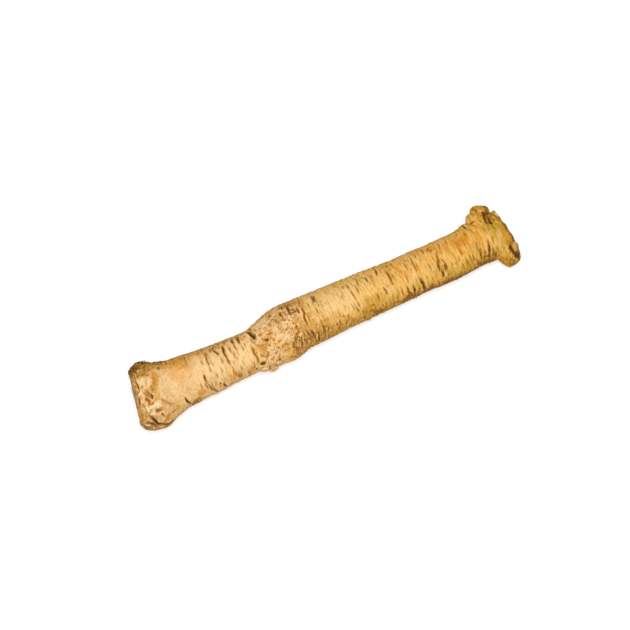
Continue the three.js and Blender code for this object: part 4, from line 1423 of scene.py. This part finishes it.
def make_streaks():
    group, given, result = new_group(
        "fine streaks", [("Place", "Vector"), ("Per Metre", "Vector"), ("Low", "Float"),
                         ("High", "Float")], "Streak")
    stretched = add(group, "ShaderNodeVectorMath", operation="MULTIPLY")
    wire(group, given.outputs["Place"], stretched.inputs[0])
    wire(group, given.outputs["Per Metre"], stretched.inputs[1])
    texture = add(group, "ShaderNodeTexNoise")
    for name, value in (("Scale", 1.0), ("Detail", 3.0), ("Roughness", 0.6)):
        texture.inputs[name].default_value = value
    wire(group, stretched.outputs[0], texture.inputs["Vector"])
    spread = add(group, "ShaderNodeMapRange", interpolation_type="SMOOTHSTEP")
    wire(group, given.outputs["Low"], spread.inputs["From Min"])
    wire(group, given.outputs["High"], spread.inputs["From Max"])
    wire(group, texture.outputs[0], spread.inputs["Value"])
    wire(group, spread.outputs["Result"], result.inputs["Streak"])
    return group


def make_torn_edge():
    group, given, result = new_group(
        "torn edge", [("Mask", "Float"), ("Grain", "Float"), ("Tear", "Float"), ("Low", "Float"),
                      ("High", "Float")], "Mask")
    level = add(group, "ShaderNodeMath", operation="SUBTRACT")
    wire(group, given.outputs["Grain"], level.inputs[0])
    level.inputs[1].default_value = 0.5
    shifted = add(group, "ShaderNodeMath", operation="MULTIPLY_ADD")
    wire(group, level.outputs[0], shifted.inputs[0])
    wire(group, given.outputs["Tear"], shifted.inputs[1])
    wire(group, given.outputs["Mask"], shifted.inputs[2])
    sharp = add(group, "ShaderNodeMapRange", interpolation_type="SMOOTHSTEP")
    wire(group, given.outputs["Low"], sharp.inputs["From Min"])
    wire(group, given.outputs["High"], sharp.inputs["From Max"])
    wire(group, shifted.outputs[0], sharp.inputs["Value"])
    wire(group, sharp.outputs["Result"], result.inputs["Mask"])
    return group


streaks_group = make_streaks()
torn_group = make_torn_edge()
print("shared effects:", streaks_group.name, "and", torn_group.name)


# %% Place the shared effects in a material
def streaks(tree, across, along, low=0.3, high=0.7):
    """A streak pattern: each streak is this wide along the root and this long round it, in mm."""
    coordinates = add(tree, "ShaderNodeTexCoord")
    node = add(tree, "ShaderNodeGroup", node_tree=streaks_group)
    wire(tree, coordinates.outputs["Object"], node.inputs["Place"])
    node.inputs["Per Metre"].default_value = (1 / (across * MM), 1 / (along * MM), 1 / (along * MM))
    node.inputs["Low"].default_value = low
    node.inputs["High"].default_value = high
    return node.outputs["Streak"]


def torn(tree, mask, grain, tear=0.7, low=0.3, high=0.7):
    """A mask with its edge broken by a grain, kept where it is above low and full above high."""
    node = add(tree, "ShaderNodeGroup", node_tree=torn_group)
    wire(tree, mask, node.inputs["Mask"])
    wire(tree, grain, node.inputs["Grain"])
    for name, value in (("Tear", tear), ("Low", low), ("High", high)):
        node.inputs[name].default_value = value
    return node.outputs["Mask"]


def times(tree, value, factor, plus=0.0):
    """One value times another, and a plain number added."""
    node = add(tree, "ShaderNodeMath", operation="MULTIPLY_ADD")
    wire(tree, value, node.inputs[0])
    wire(tree, factor, node.inputs[1])
    node.inputs[2].default_value = plus
    return node.outputs[0]


def stored(tree, name):
    """A mask that the carving left on the mesh."""
    return add(tree, "ShaderNodeAttribute", attribute_name=name).outputs["Fac"]


def colour(red, green, blue):
    """A colour given in screen values from 0 to 255, as the linear values that a shader takes."""
    values = [value / 255 for value in (red, green, blue)]
    return (*[v / 12.92 if v < 0.04045 else ((v + 0.055) / 1.055) ** 2.4 for v in values], 1.0)


def cover(tree, below, mask, above):
    """One colour laid over another where a mask says so."""
    node = add(tree, "ShaderNodeMix", data_type="RGBA")
    wire(tree, mask, node.inputs[0])
    wire(tree, below, node.inputs[6])
    wire(tree, above, node.inputs[7])
    return node.outputs[2]


def ramp(tree, value, stops):
    """A colour ramp through stops of place and colour."""
    node = add(tree, "ShaderNodeValToRGB")
    while len(node.color_ramp.elements) < len(stops):
        node.color_ramp.elements.new(0.5)
    for element, (at_place, shade) in zip(node.color_ramp.elements, stops):
        element.position = at_place
        element.color = shade
    wire(tree, value, node.inputs["Fac"])
    return node.outputs["Color"]


print("a middle grey, in linear values:", round(colour(128, 128, 128)[0], 3))


# %% [markdown]
# ## The skin's finish
# The skin goes from cream behind the crown, through tan, to a greenish ochre at the fork, so its ground
# colour is a ramp along the root, and so are its pale and warm tints. One flat colour under all the layers
# would look like plastic. Over the ground go the streaks and specks, then each mask in the order in which
# the real layers lie: cork, the sides' gold of painted shade, the tints with their painted highlights,
# soil with its painted shadow, scars, cut flesh, creases with their painted shade and the dark slits last.
# A slit is laid twice, as a brown fringe and as a narrower dark core. The bump holds only grain that is
# finer than the grid.

# %% Colours of the skin
GROUND = [(0.0, colour(236, 184, 104)), (0.055, colour(246, 194, 114)), (0.09, colour(255, 214, 144)),
          (0.20, colour(255, 212, 142)), (0.28, colour(255, 208, 132)), (0.40, colour(254, 200, 112)),
          (0.50, colour(255, 210, 120)), (0.64, colour(255, 198, 94)), (0.76, colour(254, 188, 76)),
          (0.90, colour(244, 178, 56)), (1.0, colour(234, 180, 44))]
LIGHT = [(0.0, colour(255, 230, 184)), (0.4, colour(255, 228, 174)), (0.6, colour(255, 226, 156)),
         (1, colour(255, 216, 136))]
WARM = [(0.0, colour(255, 216, 160)), (0.4, colour(255, 214, 150)), (0.7, colour(255, 206, 124)),
        (1, colour(250, 192, 100))]
# painted shade: the deeper gold of the sides
SIDE_SHADE_GOLD = colour(252, 190, 84)
OCHRE = colour(208, 142, 34)
BAND = colour(194, 126, 26)
LINE = colour(164, 108, 14)
TAN = colour(216, 148, 62)
CORK = colour(252, 200, 130)
CORK_BROWN = colour(184, 124, 48)
BLUSH = colour(230, 142, 14)
GREEN = colour(196, 152, 16)
# soil brown, which also serves as painted shadow low down
SOIL_AND_SHADOW = colour(130, 84, 4)
SCAR = colour(132, 84, 6)
# crease brown, which also serves as painted shade in hollows
CREASE_AND_SHADE = colour(170, 108, 12)
FRINGE = colour(150, 96, 16)
DARK = colour(84, 50, 4)
CUT_FLESH = colour(218, 178, 112)
CUT_CORE = colour(172, 126, 62)
CUT_GRIME = colour(120, 82, 34)
print("ground colours:", len(GROUND))


# %% Mix the skin's colour
def lay(tree, shade, layers):
    """A colour with layers over it, each a mask, how strong it is, and its colour."""
    for mask, amount, over in layers:
        shade = cover(tree, shade, times(tree, mask, amount), over)
    return shade


def plain_skin(tree, light, warm):
    """The washed skin, before anything happened to it: clouds, ring marks and specks."""
    ringed = stored(tree, "ringed")
    smooth = times(tree, ringed, -0.65, 1.0)
    dense = times(tree, streaks(tree, 0.7, 8.0, 0.56, 0.7), ringed)
    return lay(tree, ramp(tree, stored(tree, "tone"), GROUND), [
        (streaks(tree, 13, 13, 0.45, 0.65), 0.55, warm),
        (streaks(tree, 9, 14, 0.5, 0.72), 0.42, OCHRE),
        (streaks(tree, 3.0, 5.0, 0.5, 0.75), 0.34, OCHRE),
        (times(tree, streaks(tree, 2.4, 18, 0.46, 0.64), ringed), 0.5, BAND),
        (times(tree, streaks(tree, 0.85, 9.0, 0.46, 0.64), ringed), 0.32, BAND),
        (times(tree, streaks(tree, 1.15, 11.0, 0.5, 0.64), ringed), 0.55, light),
        (times(tree, streaks(tree, 1.3, 1.5, 0.45, 0.62), smooth), 0.7, TAN),
        (streaks(tree, 0.9, 4.6, 0.54, 0.7), 0.38, light),
        (times(tree, streaks(tree, 1.15, 1.3, 0.52, 0.68), smooth), 0.75, light),
        (times(tree, streaks(tree, 1.0, 1.2, 0.57, 0.7), smooth), 0.62, LINE),
        (times(tree, streaks(tree, 1.2, 1.0, 0.5, 0.64), smooth), 0.5, warm),
        (times(tree, dense, streaks(tree, 8, 8, 0.45, 0.6)), 0.38, LINE)])


def skin_colour(tree):
    """The whole skin's colour."""
    grain = streaks(tree, 0.7, 0.8)
    strokes = streaks(tree, 0.75, 2.6)
    blotches = times(tree, streaks(tree, 1.6, 3.0, 0.35, 0.65), 0.35, 0.65)
    light = ramp(tree, stored(tree, "tone"), LIGHT)
    warm = ramp(tree, stored(tree, "tone"), WARM)

    shade = plain_skin(tree, light, warm)
    flaky = lay(tree, CORK, [(streaks(tree, 0.8, 0.8, 0.48, 0.64), 0.52, CORK_BROWN),
                             (streaks(tree, 1.0, 1.0, 0.52, 0.66), 0.75, light)])
    shade = cover(tree, shade, torn(tree, stored(tree, "cork"), grain), flaky)
    # painted shade: the gold of the sides
    shade = lay(tree, shade, [(stored(tree, "side_shade_gold"), 0.8, SIDE_SHADE_GOLD)])
    # the rosy and pale tints also carry painted highlights
    tints = (("ochre", 0.95, OCHRE), ("green", 0.8, GREEN), ("rosy", 0.9, warm), ("blush", 0.95, BLUSH),
             ("pale", 0.9, light))
    shade = lay(tree, shade, [(times(tree, stored(tree, name), blotches), amount, tint)
                              for name, amount, tint in tints])
    # soil also carries painted shadow low down
    shade = lay(tree, shade, [(torn(tree, stored(tree, "soil"), strokes, 1.2, 0.4, 0.9), 0.75, SOIL_AND_SHADOW),
                              (torn(tree, stored(tree, "scar"), strokes, 0.9, 0.2, 0.9), 0.75, SCAR)])

    flesh = cover(tree, CUT_FLESH, stored(tree, "core"), CUT_CORE)
    flesh = lay(tree, flesh, [(streaks(tree, 1.0, 1.0, 0.5, 0.7), 0.6, CUT_GRIME)])
    shade = cover(tree, shade, stored(tree, "cut"), flesh)

    # the crease colour also serves as painted shade in hollows
    crease_and_shade = torn(tree, stored(tree, "crease_and_shade"), grain, 0.18, 0.12, 0.85)
    fringe = torn(tree, stored(tree, "slit"), grain, 0.12, 0.1, 0.6)
    core = torn(tree, stored(tree, "slit"), grain, 0.12, 0.55, 1.0)
    return lay(tree, shade, [(crease_and_shade, 0.88, CREASE_AND_SHADE), (fringe, 0.85, FRINGE), (core, 0.88, DARK)])


# %% Make the skin's material
def make_skin():
    material, tree, shader = new_material("horseradish skin")
    wire(tree, skin_colour(tree), shader.inputs["Base Color"])
    fine = streaks(tree, 0.6, 2.4)
    wire(tree, times(tree, fine, 0.2, 0.6), shader.inputs["Roughness"])
    shader.inputs["Specular IOR Level"].default_value = 0.14
    bump = add(tree, "ShaderNodeBump")
    bump.inputs["Strength"].default_value = 0.6
    bump.inputs["Distance"].default_value = 0.25 * MM
    relief = add(tree, "ShaderNodeMath", operation="ADD")
    wire(tree, times(tree, fine, 0.7), relief.inputs[0])
    wire(tree, times(tree, streaks(tree, 0.4, 0.6), 0.6), relief.inputs[1])
    wire(tree, relief.outputs[0], bump.inputs["Height"])
    wire(tree, bump.outputs["Normal"], shader.inputs["Normal"])
    return material


skin_mesh.materials.clear()
skin_mesh.materials.append(make_skin())
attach(root_skin, "root")
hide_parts("horseradish_root")
print("skin nodes:", len(skin_mesh.materials[0].node_tree.nodes))

# %% [markdown]
# ## The fibres
# A pulled root keeps a few threads: brown remains of leaf stalks on the crown, pale hairs in the notch of
# the fork, and thin rootlets underneath. Hair curves would be quicker to grow, but they don't reach the
# finished part. So each one is a fine tapering tube that leaves the skin, bends over and lies down along
# it. They are one piece of their own, because their finish isn't the skin's. A clump says where its fibres
# start, how far they spread and which way they lie.

# %% Find the way of a fibre
FIBRE_SIDES = 5
FIBRE_STEPS = 7
moved_tree = BVHTree.FromPolygons(moved.tolist(), [tuple(face.vertices) for face in skin_mesh.polygons])


def fibre_path(start_station, start_turn, length, lie):
    """The middle of one fibre. It leaves the skin, then lies down the way that lie points."""
    hit, normal = look_in(moved_tree, start_station, start_turn)
    if hit is None:
        return None
    angle = math.radians(start_turn)
    side = Vector((lie[0], lie[1] * math.cos(angle), -lie[1] * math.sin(angle)))
    side = (side - normal * side.dot(normal)).normalized()
    curl = Vector(random.normal(0, 0.22, 3))
    points = []
    for share in np.linspace(0, 1, FIBRE_STEPS):
        arch = math.sin(math.pi * min(1, share * 1.15))
        lifted = 0.9 * arch * (0.25 + 0.12 * length) - 0.25 * (1 - share)
        ahead = hit + (side + curl * share) * (share * length)
        below, skin_normal = moved_tree.find_nearest(ahead)[:2]
        points.append(below + skin_normal * max(lifted, -0.3))
    return np.array(points)


print("points along a fibre:", FIBRE_STEPS)


# %% Make a tube along it
FIBRE_TAPER = 0.75           # how much of its width a fibre loses towards its tip


def fibre_tube(path, width, first):
    """The points and faces of a tapering tube along a path, closed at both ends."""
    points = []
    faces = []
    for step, middle in enumerate(path):
        way = Vector(path[min(step + 1, len(path) - 1)] - path[max(step - 1, 0)]).normalized()
        sideways = way.orthogonal().normalized()
        upward = way.cross(sideways)
        half = 0.5 * width * (1 - FIBRE_TAPER * step / (len(path) - 1))
        for corner in range(FIBRE_SIDES):
            angle = math.tau * corner / FIBRE_SIDES
            aside = np.array(sideways) * math.cos(angle) + np.array(upward) * math.sin(angle)
            points.append(middle + half * aside)
    for step in range(len(path) - 1):
        for corner in range(FIBRE_SIDES):
            a = first + step * FIBRE_SIDES + corner
            b = first + step * FIBRE_SIDES + (corner + 1) % FIBRE_SIDES
            faces.append((a, b, b + FIBRE_SIDES, a + FIBRE_SIDES))
    faces.append(tuple(first + corner for corner in reversed(range(FIBRE_SIDES))))
    last = first + (len(path) - 1) * FIBRE_SIDES
    faces.append(tuple(last + corner for corner in range(FIBRE_SIDES)))
    return points, faces


print("faces of a fibre:", FIBRE_SIDES * (FIBRE_STEPS - 1) + 2)


# %% Grow the fibres
CLUMPS = [  # centre, spread, number, lengths, width, way it lies, brownness
    ((-119.6, 54), (2.6, 8), 34, (2, 4.4), 0.32, (-0.4, 1), 0.95),
    ((-114.5, 54), (2.6, 8), 26, (2, 4.5), 0.32, (0.5, 1), 0.85),
    ((-119, 40), (3.6, 5), 16, (2, 4), 0.28, (-1, 0.5), 0.7),
    ((-120, 100), (4, 26), 22, (2, 5), 0.32, (-1, 0.4), 0.8),
    ((-119, 170), (4, 30), 14, (2, 5), 0.30, (-1, 0.2), 0.8),
    ((116.6, 29), (0.8, 3), 4, (1.6, 3), 0.24, (1, 0.2), 0.55),
    ((118.6, 31), (1, 3), 3, (2, 4), 0.24, (1, 0.6), 0.5),
    ((123, -80), (1.6, 8), 7, (1.5, 3), 0.24, (0.6, -0.6), 0.6),
    ((10, -96), (26, 8), 12, (2.5, 6), 0.26, (0.4, -1), 0.5),
    ((60, -170), (30, 30), 14, (3, 7), 0.28, (0.8, 0.4), 0.5),
    ((-60, 170), (24, 30), 10, (3, 7), 0.28, (0.8, -0.4), 0.5)]


def make_fibres():
    points, faces, brownness = [], [], []
    for centre, spread, number, lengths, width, lie, brown in CLUMPS:
        for _ in range(number):
            start = [mid + half * random.uniform(-1, 1) for mid, half in zip(centre, spread)]
            turned = (lie[0] + random.normal(0, 0.3), lie[1] + random.normal(0, 0.3))
            path = fibre_path(*start, random.uniform(*lengths), turned)
            if path is None:
                continue
            tube, sides = fibre_tube(path, width * random.uniform(0.7, 1.2), len(points))
            points += tube
            faces += sides
            brownness += [np.clip(brown + random.normal(0, 0.15), 0, 1)] * len(tube)
    mesh = bpy.data.meshes.new("rootlet_fibres")
    mesh.from_pydata((kept_inside(np.array(points)) * MM).tolist(), [], faces)
    brown_layer = mesh.attributes.new("brown", "FLOAT", "POINT")
    brown_layer.data.foreach_set("value", np.array(brownness, np.float32))
    mesh.shade_smooth()
    print("fibres:", sum(clump[2] for clump in CLUMPS), "with", len(faces), "faces")
    return placed("rootlet_fibres", mesh)


rootlet_fibres = make_fibres()

# %% Finish the fibres
STRAW = colour(240, 206, 146)
STALK = colour(106, 66, 8)


def make_fibre_finish():
    material, tree, shader = new_material("dry fibre")
    grain = streaks(tree, 0.7, 0.8)
    brown = torn(tree, stored(tree, "brown"), grain, 0.5, 0.1, 0.9)
    wire(tree, cover(tree, STRAW, brown, STALK), shader.inputs["Base Color"])
    shader.inputs["Roughness"].default_value = 0.75
    shader.inputs["Specular IOR Level"].default_value = 0.14
    return material


rootlet_fibres.data.materials.append(make_fibre_finish())
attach(rootlet_fibres, "root")
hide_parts("horseradish_root")
print("fibres finished as", rootlet_fibres.data.materials[0].name)
